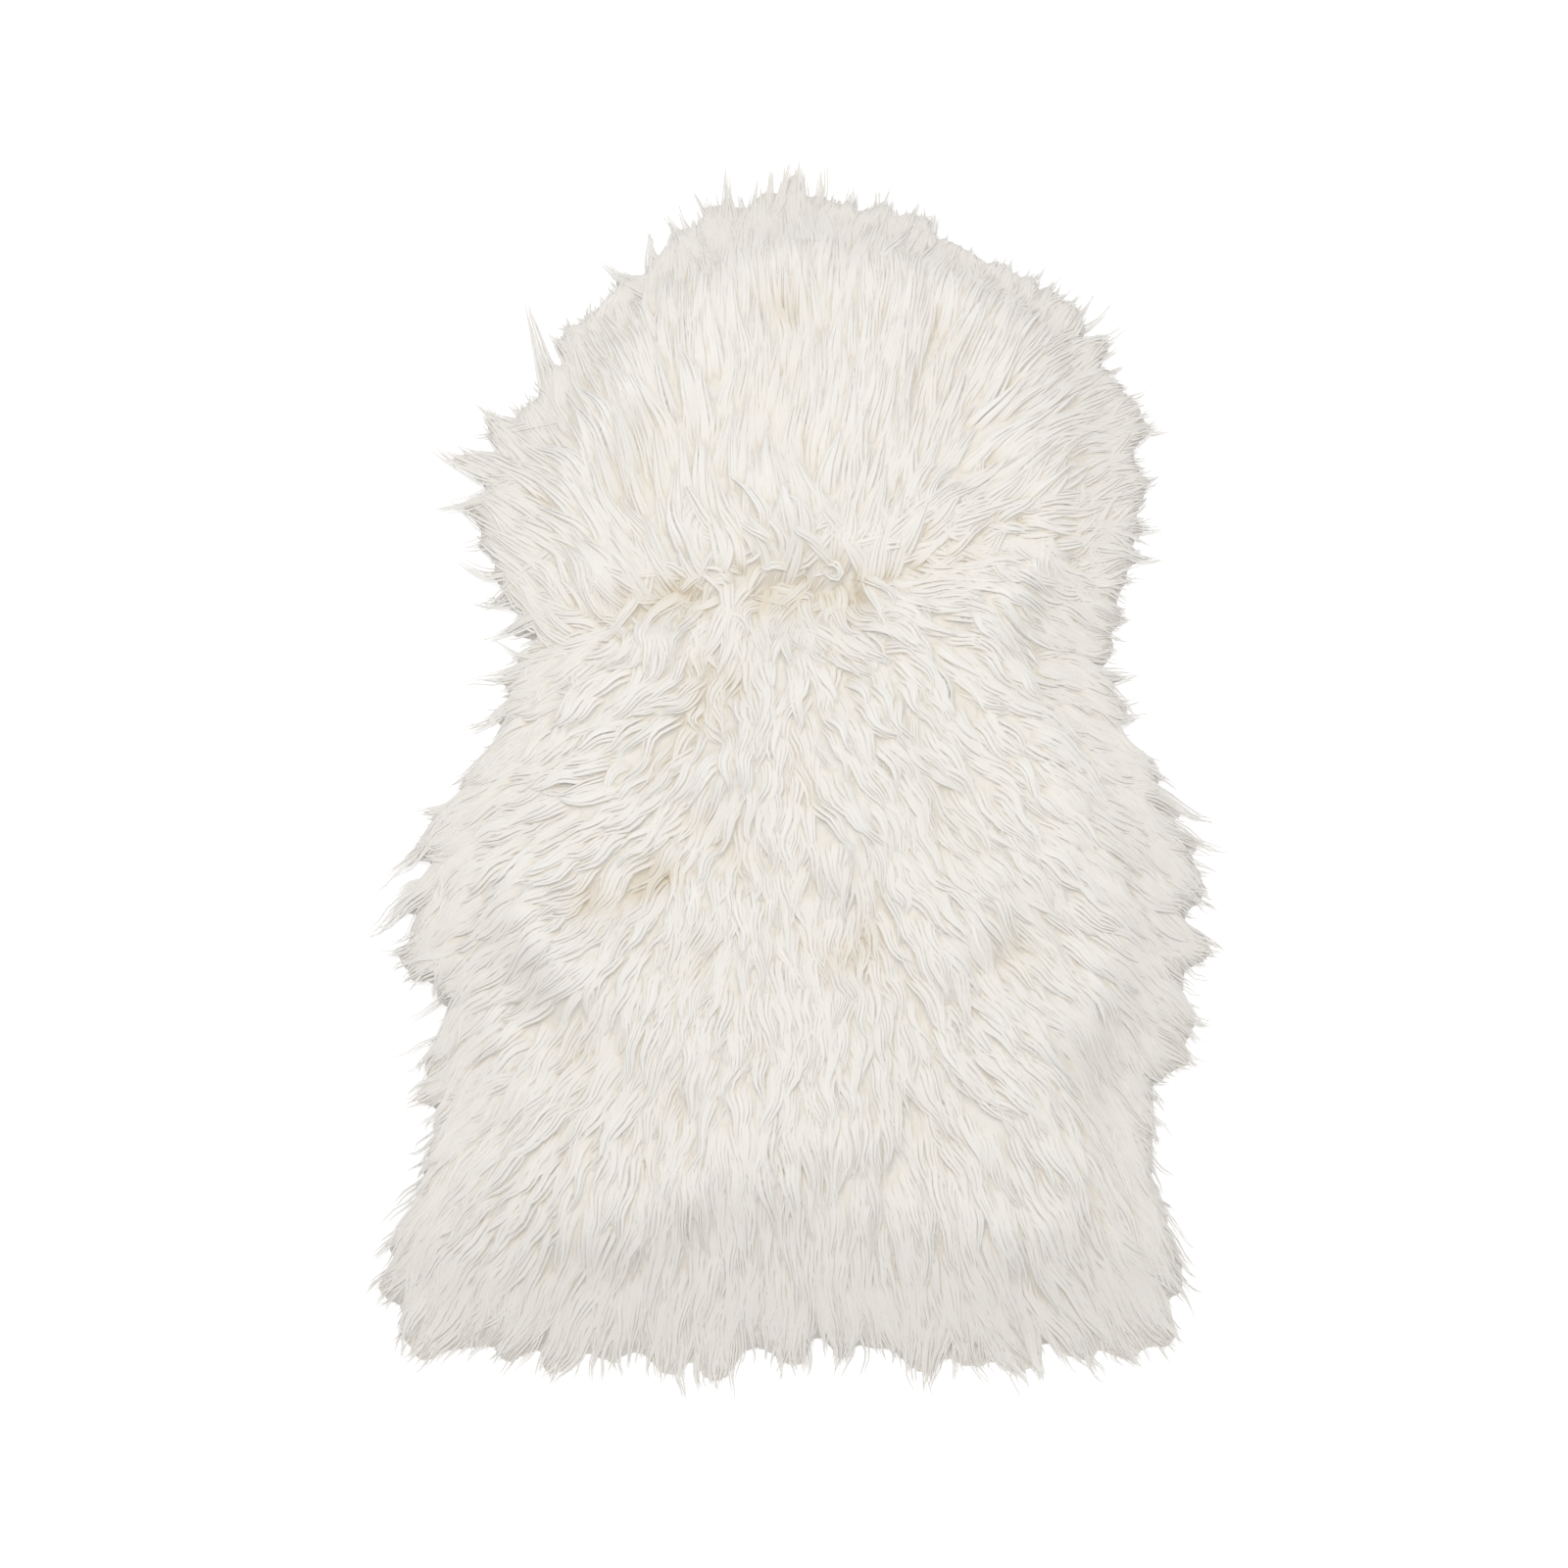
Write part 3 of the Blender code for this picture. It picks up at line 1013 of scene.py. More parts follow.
def grid_faces(columns: int, rows: int) -> Array:
    """The cells of a grid of points in column order, anticlockwise from above."""
    corner = np.arange(columns)[:, None] * (rows + 1) + np.arange(rows)
    return np.stack([corner, corner + rows + 1, corner + rows + 2, corner + 1], -1).reshape(-1, 4)


def grid_border(columns: int, rows: int) -> Array:
    """The border points of such a grid, once round, anticlockwise from above."""
    numbers = np.arange((columns + 1) * (rows + 1)).reshape(columns + 1, rows + 1)
    return np.concatenate([numbers[:-1, 0], numbers[-1, :-1], numbers[:0:-1, -1], numbers[0, :0:-1]])


def border_loop(faces: Array, count: int) -> Array:
    """The border points of a sheet, once round, as its faces run.

    Args:
        faces: The sheet's faces, one row each. The sheet has one border.
        count: Number of the sheet's points.

    Returns:
        Point numbers. An edge is on the border when no face runs it the other way, and each
        of its points leads to the next. The loop doubles in length until it is whole, as a
        jump of its own length leads on from each of its points.
    """
    edges = np.stack([faces, np.roll(faces, -1, axis=1)], -1).reshape(-1, 2)
    edges = edges[~np.isin(edges @ (count, 1), edges @ (1, count))]
    jump = np.zeros(count, int)
    jump[edges[:, 0]] = edges[:, 1]
    loop = edges[:1, 0]
    while len(loop) < len(edges):
        loop = np.concatenate([loop, jump[loop]])
        jump = jump[jump]
    return loop[: len(edges)]


@dataclass
class Hide:
    """The tanned skin: a thin closed sheet with a slightly uneven cut edge."""

    ground: Ground
    thickness: float = 2 * MM
    columns: int = 40
    rows: int = 68
    edge_unevenness: float = 0.003
    edge_noise: Noise = Noise(seed=3, cell=1 / 12, start=(60, 0))
    finish: HideFinish = HideFinish()

    def build(self) -> bpy.types.Object:
        """A grid below and a grid above, joined by a wall at the cut edge.

        Returns:
            The sheet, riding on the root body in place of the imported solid.
        """
        level = filled_outline(self.columns, self.rows, self.ground.outline).reshape(-1, 2)
        bearing = np.arctan2(level[:, 1], level[:, 0])
        uneven = self.edge_noise.at(np.column_stack([bearing, 0 * bearing])) - 1
        level = level * (1 + self.edge_unevenness * uneven)[:, None]
        count = len(level)
        points = np.column_stack([np.tile(level, (2, 1)), np.repeat([0.0, self.thickness], count)])
        cells = grid_faces(self.columns, self.rows)
        border = grid_border(self.columns, self.rows)
        after = np.roll(border, -1)
        wall = np.stack([border, after, after + count, border + count], -1)
        sheet = make_mesh("hide_skin", points, [np.vstack([cells[:, ::-1], cells + count, wall])])
        sheet.data.materials.append(self.finish.material())
        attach(sheet, "root")
        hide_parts("hide")
        return sheet


class Kind(Enum):
    """Kinds of locks."""

    PLAIN = "follows the lay"
    FRINGE = "thin, at the rim, and turned a little from the lay"
    WHORL = "short and loose, and turns and curls any way"


@dataclass
class Locks:
    """Centre lines of the wool's locks, which start at their roots and follow the lay."""

    ground: Ground
    lay: Lay
    random: np.random.Generator
    # Where the locks stand, and how wide they are
    pitch: float = 11.6 * MM
    row_share: float = 0.866
    jitter: float = 0.42
    rim_clearance: float = 1 * MM
    rim_pitch: float = 13.5 * MM
    rim_reach: float = 30 * MM
    fringe_pitch: float = 7 * MM
    fringe_reach: float = 9 * MM
    whorl_pitch: float = 8 * MM
    whorl_reach: float = 26 * MM
    tuft_pitch: float = 27 * MM
    fringe_size: float = 0.62
    whorl_size: float = 0.9
    # Which way they run, and how far
    crossing: float = 13 * MM
    length_spread: float = 0.2
    tuft_reach_spread: float = 0.32
    most_tuft_spread: float = 0.6
    lock_reach_spread: float = 0.12
    fringe_gain: float = 1.5
    inner_reach: float = 1.1
    # How they turn from the lay
    turn_spread: float = 0.35
    tuft_turn_spread: float = 0.12
    fringe_spread: float = 0.28
    whorl_turn: float = 0.9
    whorl_curl: float = 1.3
    broad_turns: Noise = Noise(seed=7, cell=46 * MM, start=(20, 20))
    fine_turns: Noise = Noise(seed=8, cell=19 * MM, start=(40, 40))
    fine_share: float = 0.6
    # How they lean on the tufts
    rim_lean: float = 0.8
    fringe_lean: float = 0.5
    lean_power: float = 1.5
    # Their wave
    wave_length: float = 38 * MM
    root_wave: float = 0.3
    wave_starts: Noise = Noise(seed=9, cell=30 * MM, start=(30, 30))
    wave_start_range: float = 6.0
    wave_start_spread: float = 0.5
    # Their height
    sunk: float = 8 * MM
    climb_run: float = 0.45
    parting_reach: float = 32 * MM
    parting_rise: float = 0.9
    layers: tuple[float, float] = (-2.2 * MM, 0.6 * MM)
    arches: tuple[float, float] = (-0.2, 1.0)
    rim_depth: float = 0.6
    lowest: float = 1.3 * MM
    # The wisps at the rim
    wisp_locks: int = 4
    wisp_half_width: float = 9 * MM
    wisp_root: float = 24 * MM
    wisp_spread: float = 0.12
    wisp_meeting: float = 0.85
    wisp_size: float = 0.75
    # What is worked out from them
    roots: Array = field(init=False)
    size: Array = field(init=False)
    line: Array = field(init=False)

    def __post_init__(self) -> None:
        """Scatter the roots and grow the lines."""
        rim = self.scattered(self.rim_pitch)
        rim = rim[self.ground.inside.at(rim) < self.rim_reach]
        fringe = self.scattered(self.fringe_pitch)
        fringe = fringe[self.ground.inside.at(fringe) < self.fringe_reach]
        whorl = self.scattered(self.whorl_pitch)
        whorl = whorl[np.abs(past_parting(whorl)) < self.whorl_reach]
        plain = np.vstack([self.scattered(self.pitch), rim])
        counts = [len(plain), len(fringe), len(whorl)]
        roots = np.vstack([plain, fringe, whorl])
        line = self.grown(roots, np.repeat(list(Kind), counts))
        wisps = self.wisps()
        counts.append(len(wisps))
        self.roots = np.vstack([roots, wisps[:, 0, :2]])
        self.line = np.concatenate([line, wisps])
        self.size = np.repeat([1.0, self.fringe_size, self.whorl_size, self.wisp_size], counts)

    def scattered(self, pitch: float) -> Array:
        """Points spread over the fleece, by a staggered grid whose points are jittered.

        Args:
            pitch: Distance between neighbours in a row of the grid.

        Returns:
            Places, as (point, axis).
        """
        columns, rows = ((HIGH - LOW) / (pitch, pitch * self.row_share)).astype(int) + 1
        i, j = np.meshgrid(np.arange(columns), np.arange(rows), indexing="ij")
        grid = LOW[0] + (i + 0.5 * (j % 2)) * pitch, LOW[1] + j * pitch * self.row_share
        moves = [self.random.uniform(-self.jitter, self.jitter, i.shape) * pitch for _ in grid]
        place = np.stack([at + move for at, move in zip(grid, moves)], -1)
        return place[self.ground.inside.at(place) > self.rim_clearance]

    def grown(self, roots: Array, kind: Array) -> Array:
        """Lines in space for the locks.

        Args:
            roots: Root places, as (lock, axis).
            kind: Each lock's Kind.

        Returns:
            Places, as (lock, step, axis). Each lock leans on the line of the nearest tuft,
            more so towards its tip.
        """
        tufts = self.scattered(self.tuft_pitch)
        forward = past_parting(roots) + self.random.normal(0, 1, len(roots)) * self.crossing > 0
        tuft_forward = past_parting(tufts) > 0
        apart = ((roots[:, None] - tufts[None]) ** 2).sum(-1) + (forward[:, None] != tuft_forward)
        nearest = np.argmin(apart, 1)
        stretch = 1 + self.random.uniform(-1, 1, len(roots)) * self.length_spread
        spread = self.random.normal(0, self.tuft_reach_spread, len(tufts))
        tuft_reach = 1 + spread.clip(-self.most_tuft_spread, self.most_tuft_spread)
        reach = tuft_reach[nearest] * (1 + self.random.normal(0, self.lock_reach_spread, len(roots)))
        reach *= np.where(kind == Kind.FRINGE, self.fringe_gain, 1.0)
        length = self.held_in(roots, coat_at(roots, "length") * stretch, reach)
        line = self.level_lines(roots, forward, length, *self.turns(roots, kind))
        tuft_turn = self.random.normal(0, self.tuft_turn_spread, len(tufts))
        tuft_length = self.held_in(tufts, coat_at(tufts, "length"), tuft_reach)
        tuft_line = self.level_lines(tufts, tuft_forward, tuft_length, tuft_turn, 0 * tuft_turn)
        lean = self.leans(roots, kind)[:, None, None] * SHARE[..., None] ** self.lean_power
        line = line + lean * (tuft_line[nearest] - line)
        return self.raised(self.waved(line, length), roots)

    def held_in(self, roots: Array, length: Array, share: Array) -> Array:
        """Lengths cut to take each lock to its own share of the wool's reach past the rim."""
        inner = self.inner_reach * self.ground.inside.at(roots)
        return np.minimum(length, inner + rim_reach_at(roots) * share)

    def turns(self, roots: Array, kind: Array) -> tuple[Array, Array]:
        """How far the locks turn from the lay.

        Args:
            roots: Root places, as (lock, axis).
            kind: Each lock's Kind.

        Returns:
            The angle of each lock, and the further angle at its tip.
        """
        turn = self.random.normal(0, self.turn_spread, len(roots)) * coat_at(roots, "tangle")
        curl = np.zeros(len(roots))
        whorl, fringe = kind == Kind.WHORL, kind == Kind.FRINGE
        turn[whorl] += self.random.normal(0, self.whorl_turn, whorl.sum())
        curl[whorl] = self.random.normal(0, self.whorl_curl, whorl.sum())
        turn[fringe] += self.random.normal(0, self.fringe_spread, fringe.sum())
        return turn, curl

    def leans(self, roots: Array, kind: Array) -> Array:
        """How far the locks lean on their tufts.

        Args:
            roots: Root places, as (lock, axis).
            kind: Each lock's Kind.

        Returns:
            Each lock's share at its tip: the coat's, more at the rim, and less in the fringe.
        """
        near_rim = 1 - eased(self.ground.inside.at(roots) / self.rim_reach)
        lean = coat_at(roots, "lean") * (1 - near_rim) + self.rim_lean * near_rim
        return lean * np.where(kind == Kind.FRINGE, self.fringe_lean, 1.0)

    def level_lines(
        self, roots: Array, forward: Array, length: Array, turn: Array, curl: Array
    ) -> Array:
        """Level lines that follow the lay from the roots.

        Args:
            roots: Root places, as (lock, axis).
            forward: True for a lock that runs towards the neck.
            length: Each lock's length.
            turn: Angle by which each lock turns from the lay.
            curl: Further angle by which each lock has turned at its tip.

        Returns:
            Places, as (lock, step, axis). Each step moves along the lay, turned by the lock's
            own angle and by noise that neighbours share.
        """
        place, line = roots, [roots]
        for step in range(STEPS):
            shared = self.broad_turns.at(place) + self.fine_share * self.fine_turns.at(place)
            angle = self.lay.angle(place, forward) + coat_at(place, "tangle") * shared
            angle = angle + turn + curl * step / STEPS
            place = place + (length / STEPS)[:, None] * np.stack([np.cos(angle), np.sin(angle)], 1)
            line.append(place)
        return np.stack(line, 1)

    def wisps(self) -> Array:
        """Lines in space of the long wisps at the rim.

        Returns:
            Places, as (lock, step, axis). Each row of WISPS gives a few locks, which start
            side by side and meet at its tip.
        """
        tip = np.array([(w.x, w.y) for w in WISPS])[:, None]
        heading = np.radians([w.heading for w in WISPS])
        whole = np.array([w.length for w in WISPS])[:, None, None] + self.wisp_root
        way = np.stack([np.cos(heading), np.sin(heading)], 1)[:, None]
        aside = np.stack([-way[..., 1], way[..., 0]], -1)
        aside = aside * np.linspace(-1, 1, self.wisp_locks)[None, :, None] * self.wisp_half_width
        jitter = self.random.uniform(0, self.wisp_spread, (len(WISPS), self.wisp_locks, 1))
        length = whole * (1 - jitter)
        root = (tip - way * whole + aside).reshape(-1, 1, 2)
        run = (way * length - aside * self.wisp_meeting).reshape(-1, 1, 2)
        return self.raised(self.waved(root + run * SHARE[..., None], length.ravel()), root[:, 0])

    def waved(self, line: Array, length: Array) -> Array:
        """Swing lines from side to side in a sine wave that grows towards the tip.

        Args:
            line: Level places, as (lock, step, axis).
            length: The locks' lengths.

        Returns:
            Level places. The coat gives the wave's height, and neighbours start alike.
        """
        start = self.wave_starts.at(line[:, 0]) * self.wave_start_range
        start = start + self.random.normal(0, self.wave_start_spread, len(line))
        turns = 2 * np.pi * SHARE * length[:, None] / self.wave_length + start[:, None]
        growing = self.root_wave + (1 - self.root_wave) * SHARE
        swing = coat_at(line, "wave") * growing * np.sin(turns)
        return line + sideways(line) * swing[..., None]

    def raised(self, line: Array, roots: Array) -> Array:
        """Give level lines their height.

        Args:
            line: Level places, as (lock, step, axis).
            roots: The locks' roots.

        Returns:
            Places in space. A lock starts sunk in the wool and climbs on to its neighbours,
            as shingles do, with an arch in the middle and a layer of its own. At the rim all
            of that is less.
        """
        one_each = (len(roots), 1)
        near = np.exp(-((past_parting(roots) / self.parting_reach) ** 2))[:, None]
        climb = -self.sunk * (1 - self.parting_rise * near) * (1 - eased(SHARE / self.climb_run))
        layer = self.random.uniform(*self.layers, one_each)
        arch = coat_at(line, "lift") * np.sin(np.pi * SHARE)
        arch = arch * self.random.uniform(*self.arches, one_each)
        inside = np.clip(self.ground.inside.at(line) / self.rim_reach, 0, 1)
        depth = self.rim_depth + (1 - self.rim_depth) * inside
        height = self.ground.height.at(line) + (climb + layer + arch) * depth
        return np.concatenate([line, np.maximum(height, self.lowest)[..., None]], -1)


class Band(Enum):
    """Stretches of the back that are pieces of their own, from the tail's end, by their y."""

    TAIL = -0.36
    RUMP = -0.26
    LOIN = -0.16
    BACK = -0.05
    WITHERS = 0.06
    SHOULDERS = 0.17
    NECK = 0.27
    CREST = 1.0


@dataclass
class Strands:
    """The wool's strands: a few side by side across each lock, three-sided and tapering."""

    ground: Ground
    locks: Locks
    random: np.random.Generator
    # Their places across and along a lock
    across: int = 4
    reaches: tuple[float, float] = (0.74, 1.04)
    lock_half_width: float = 5.0 * MM
    lock_taper: Taper = Taper(start=0.6, run=0.3, end=0.15, power=1.4)
    width_spread: float = 0.3
    place_spread: float = 0.35
    stray: float = 1.0 * MM
    crown: float = 1.5 * MM
    layer: float = 0.3 * MM
    # Their own form
    taper: Taper = Taper(start=0.03, run=0.25, end=0.2, power=1.8)
    overlap: float = 1.45
    girths: tuple[float, float] = (0.75, 1.25)
    flatness: float = 0.45
    # How they settle
    rise: float = 2.5 * MM
    dip: float = 2.5 * MM
    floor_layer: float = 2.6 * MM
    root_depth: float = 5 * MM
    root_run: float = 0.22
    lowest: float = 0.9 * MM
    lowest_side: float = 0.2 * MM
    # How pale they are, with painted shade in hollows and where they lie sunk
    clean_start: float = 0.05
    clean_run: float = 0.35
    clean_rise: float = 0.75
    hollow_tan_and_shade: float = 0.8
    cavity_painted_shade: float = 0.7
    # Their shading normals and their map
    side_normal: float = 0.75
    surface_lean: float = 0.35
    map_side: float = 0.1
    map_end: float = 0.02
    root_map_rise: float = 0.004
    # What is worked out from them
    line: Array = field(init=False)
    girth: Array = field(init=False)
    aside: Array = field(init=False)
    tint: Array = field(init=False)
    cavity: Array = field(init=False)

    def __post_init__(self) -> None:
        """Work out the strands' centre lines, half widths, sideways directions and tints."""
        locks = len(self.locks.line)
        one_each = (locks * self.across, 1)
        share = SHARE * self.random.uniform(*self.reaches, one_each)
        size = 1 + self.random.uniform(-1, 1, (locks, 1)) * self.width_spread
        size = size * self.lock_half_width * self.locks.size[:, None]
        size = np.repeat(size, self.across, axis=0)
        self.line = self.centre_lines(share, size)
        self.aside = sideways(self.line)
        girth = size / self.across * self.overlap * self.taper.at(SHARE)
        self.girth = girth * self.random.uniform(*self.girths, one_each)
        self.tint = self.random.integers(0, TINTS, len(self.line))
        self.cavity = 0 * girth

    def centre_lines(self, share: Array, size: Array) -> Array:
        """Lines side by side across the locks, which draw together towards the tips.

        Args:
            share: Shares of its lock's length for each strand's places.
            size: Half width of each strand's lock.

        Returns:
            Places in space, as (strand, step, axis). A lock is lower at its sides.
        """
        line = along(np.repeat(self.locks.line, self.across, axis=0), share)
        one_each = (len(line), 1)
        width = size * self.lock_taper.at(share)
        place = np.tile(np.linspace(-1, 1, self.across), len(self.locks.line))[:, None]
        shift = self.random.uniform(-self.place_spread, self.place_spread, one_each)
        place = place + shift * 2 / self.across
        stray = self.random.normal(0, self.stray, one_each) * share**1.5
        line = line + sideways(line) * (place * width + stray)[..., None]
        line[..., 2] -= self.crown * place**2 * width / self.lock_half_width
        line[..., 2] += self.random.uniform(-self.layer, self.layer, one_each)
        line[..., 2] = np.maximum(line[..., 2], self.lowest)
        return self.straightened(line)

    @staticmethod
    def straightened(line: Array) -> Array:
        """Lines that run on.

        Args:
            line: Places, as (strand, step, axis).

        Returns:
            The lines, with a straight one in place of each that doubles back on itself.
        """
        run = np.diff(line[..., :2], axis=1)
        back = (run[:, 1:] * run[:, :-1]).sum(-1).min(1) < 0
        straight = line[:, :1] + (line[:, -1:] - line[:, :1]) * SHARE[..., None]
        return np.where(back[:, None, None], straight, line)

    def settle(self, surface: Field, drape: Field) -> None:
        """Draw the strands to the wool's broad surface, so that none hangs over a gap.

        Args:
            surface: Height of that surface. A strand's own height above or below it is held
                in smoothly by a hyperbolic tangent, and its root sinks under it.
            drape: The share of its height that the surface keeps, 0 at the wool's edge.
        """
        level, kept = surface.at(self.line), drape.at(self.line)
        apart = self.line[..., 2] - level
        bound = np.where(apart > 0, self.rise, self.dip)
        root = self.root_depth * (1 - eased(SHARE / self.root_run))
        rest = self.floor_layer * (1 - kept)
        height = level * kept + rest + bound * np.tanh(apart / bound) - root
        self.line[..., 2] = np.maximum(height, self.lowest)
        # How far each place lies below the surface; it paints shade into the strand's colour.
        self.cavity = np.clip(0.5 - apart / (2 * self.dip), 0, 1)

    def cleanness(self) -> Array:
        """How unstained and pale the wool is along the strands, with painted shade in it.

        Returns:
            Shares, as (strand, step), from 0 to 1: least at the roots, which are tan, in
            hollows, partly for the open wool's own tan and partly as painted shade, and, as painted
            shade, where a strand lies sunk below the surface.
        """
        clean = self.clean_rise * eased((SHARE - self.clean_start) / self.clean_run)
        clean = clean + (1 - self.clean_rise) * SHARE
        # In hollows the colour falls towards tan, partly the open wool's own tan and partly painted shade.
        clean = clean * (1 - self.hollow_tan_and_shade * self.ground.hollow.at(self.line))
        # Painted shade where a strand lies sunk below the surface.
        clean = clean * (1 - self.cavity_painted_shade * self.cavity)
        return self.map_end + (1 - 2 * self.map_end) * clean

    def tubes(self, surface: Field) -> tuple[Array, Array]:
        """Vertices and their shading normals, as (strand, point, axis).

        Args:
            surface: Height of the wool's surface, whose normals the strands' lean on.

        Returns:
            Three points round each place of the line but the last, one above and two below
            at the sides, and the tip. The normals lean less to the sides than the faces do,
            so that neighbouring strands shade as one soft surface.
        """
        body, aside = self.line[:, :-1], self.aside[:, :-1]
        above = np.cross(unit(np.gradient(self.line, axis=1))[:, :-1], aside)
        above = above * np.sign(above[..., 2:] + 1e-12)
        girth = self.girth[:, :-1, None]
        rings, normals = [], []
        for turn in np.pi / 2 + np.arange(3) * 2 * np.pi / 3:
            across, up = np.cos(turn), np.sin(turn) * self.flatness
            rings.append(body + girth * (across * aside + up * above))
            normals.append(above + self.side_normal * across * aside)
        points = self.with_tip(rings, self.line[:, -1:])
        points[..., 2] = np.maximum(points[..., 2], self.lowest_side)
        normals = unit(self.with_tip(normals, above[:, -1:]))
        broad = unit(surface.normals(points))
        return points, unit(normals + self.surface_lean * (broad - normals))

    @staticmethod
    def with_tip(rings: list[Array], tip: Array) -> Array:
        """What three corners hold along the strands, ring by ring, and then what the tip holds."""
        return np.concatenate([np.stack(rings, 2).reshape(len(tip), -1, 3), tip], 1)

    @staticmethod
    def faces() -> tuple[Array, Array]:
        """The faces of one strand.

        Returns:
            The quads between its rings, and the triangles at its tip and at its root.
        """
        corner = np.arange(3)
        after = (corner + 1) % 3
        ring = 3 * np.arange(STEPS - 1)[:, None]
        quads = np.stack([ring + corner, ring + after, ring + 3 + after, ring + 3 + corner], -1)
        last, tip = 3 * (STEPS - 1), 3 * STEPS
        caps = np.stack([last + corner, last + after, 0 * corner + tip], 1)
        return quads.reshape(-1, 4), np.vstack([caps, [[2, 1, 0]]])

    def map_places(self) -> tuple[Array, Array]:
        """Map places of the faces' corners.

        Returns:
            Those of the quads and of the triangles, as (strand, corner, axis): across the
            strand's own tint column, and up from its darkest, tan and painted shade, to its palest.
        """
        count = len(self.line)
        side = self.map_side + (1 - 2 * self.map_side) * np.arange(4) / 3
        across = (self.tint[:, None, None] + side) / TINTS
        grid = np.stack(np.broadcast_arrays(across, self.cleanness()[..., None]), -1)
        corner, ring = np.arange(3), np.arange(STEPS - 1)[:, None]
        round_a_quad = ((0, 0), (0, 1), (1, 1), (1, 0))
        quads = np.stack([grid[:, ring + up, corner + right] for up, right in round_a_quad], 3)
        last, end = grid[:, STEPS - 1], grid[:, STEPS]
        tips = np.stack([last[:, :3], last[:, 1:], (end[:, 1:] + end[:, :3]) / 2], 2)
        root = grid[:, 0, :3].copy()
        root[:, 1, 1] += self.root_map_rise
        return quads.reshape(count, -1, 2), np.concatenate([tips.reshape(count, -1, 2), root], 1)

    def build(self, surface: Field, finish: WoolFinish) -> list[bpy.types.Object]:
        """All strands over the wool's surface.

        Args:
            surface: Height of the wool's surface.
            finish: The strands' finish.

        Returns:
            One piece for each band of the back, from the tail's end.
        """
        points, normals = self.tubes(surface)
        maps = self.map_places()
        home = np.repeat(self.locks.roots[:, 1], self.across)
        material = finish.material()
        pieces, low = [], -1.0
        for band in Band:
            mine = (home >= low) & (home < band.value)
            low = band.value
            name = f"wool_{band.name.lower()}"
            piece = self.piece(name, points[mine], normals[mine], [part[mine] for part in maps])
            piece.data.materials.append(material)
            pieces.append(piece)
        return pieces

    def piece(self, name: str, points: Array, normals: Array, maps: list[Array]) -> bpy.types.Object:
        """One piece of strands, from its strands' share of the arrays.

        Args:
            name: The piece's name.
            points: The strands' vertices, as (strand, point, axis).
            normals: Their shading normals, for the upper sides.
            maps: The map places of the strands' quads and triangles.

        Returns:
            The piece. The normals are turned down on each strand's under side.
        """
        count = len(points)
        offset = (np.arange(count) * points.shape[1])[:, None, None]
        quads, caps = self.faces()
        faces = [(quads[None] + offset).reshape(-1, 4), (caps[None] + offset).reshape(-1, 3)]
        uvs = np.concatenate([part.reshape(-1, 2) for part in maps])
        made = make_mesh(name, points.reshape(-1, 3), faces, uvs)
        under = [np.tile(np.arange(len(f)) % 3 == 1, count).repeat(f.shape[1]) for f in (quads, caps)]
        shading = normals.reshape(-1, 3)[np.concatenate([f.ravel() for f in faces])]
        shading[np.concatenate(under), 2] *= -1
        made.data.normals_split_custom_set(shading)
        LOG.info("%s: %d strands, %d triangles", name, count, count * (2 * len(quads) + len(caps)))
        return made


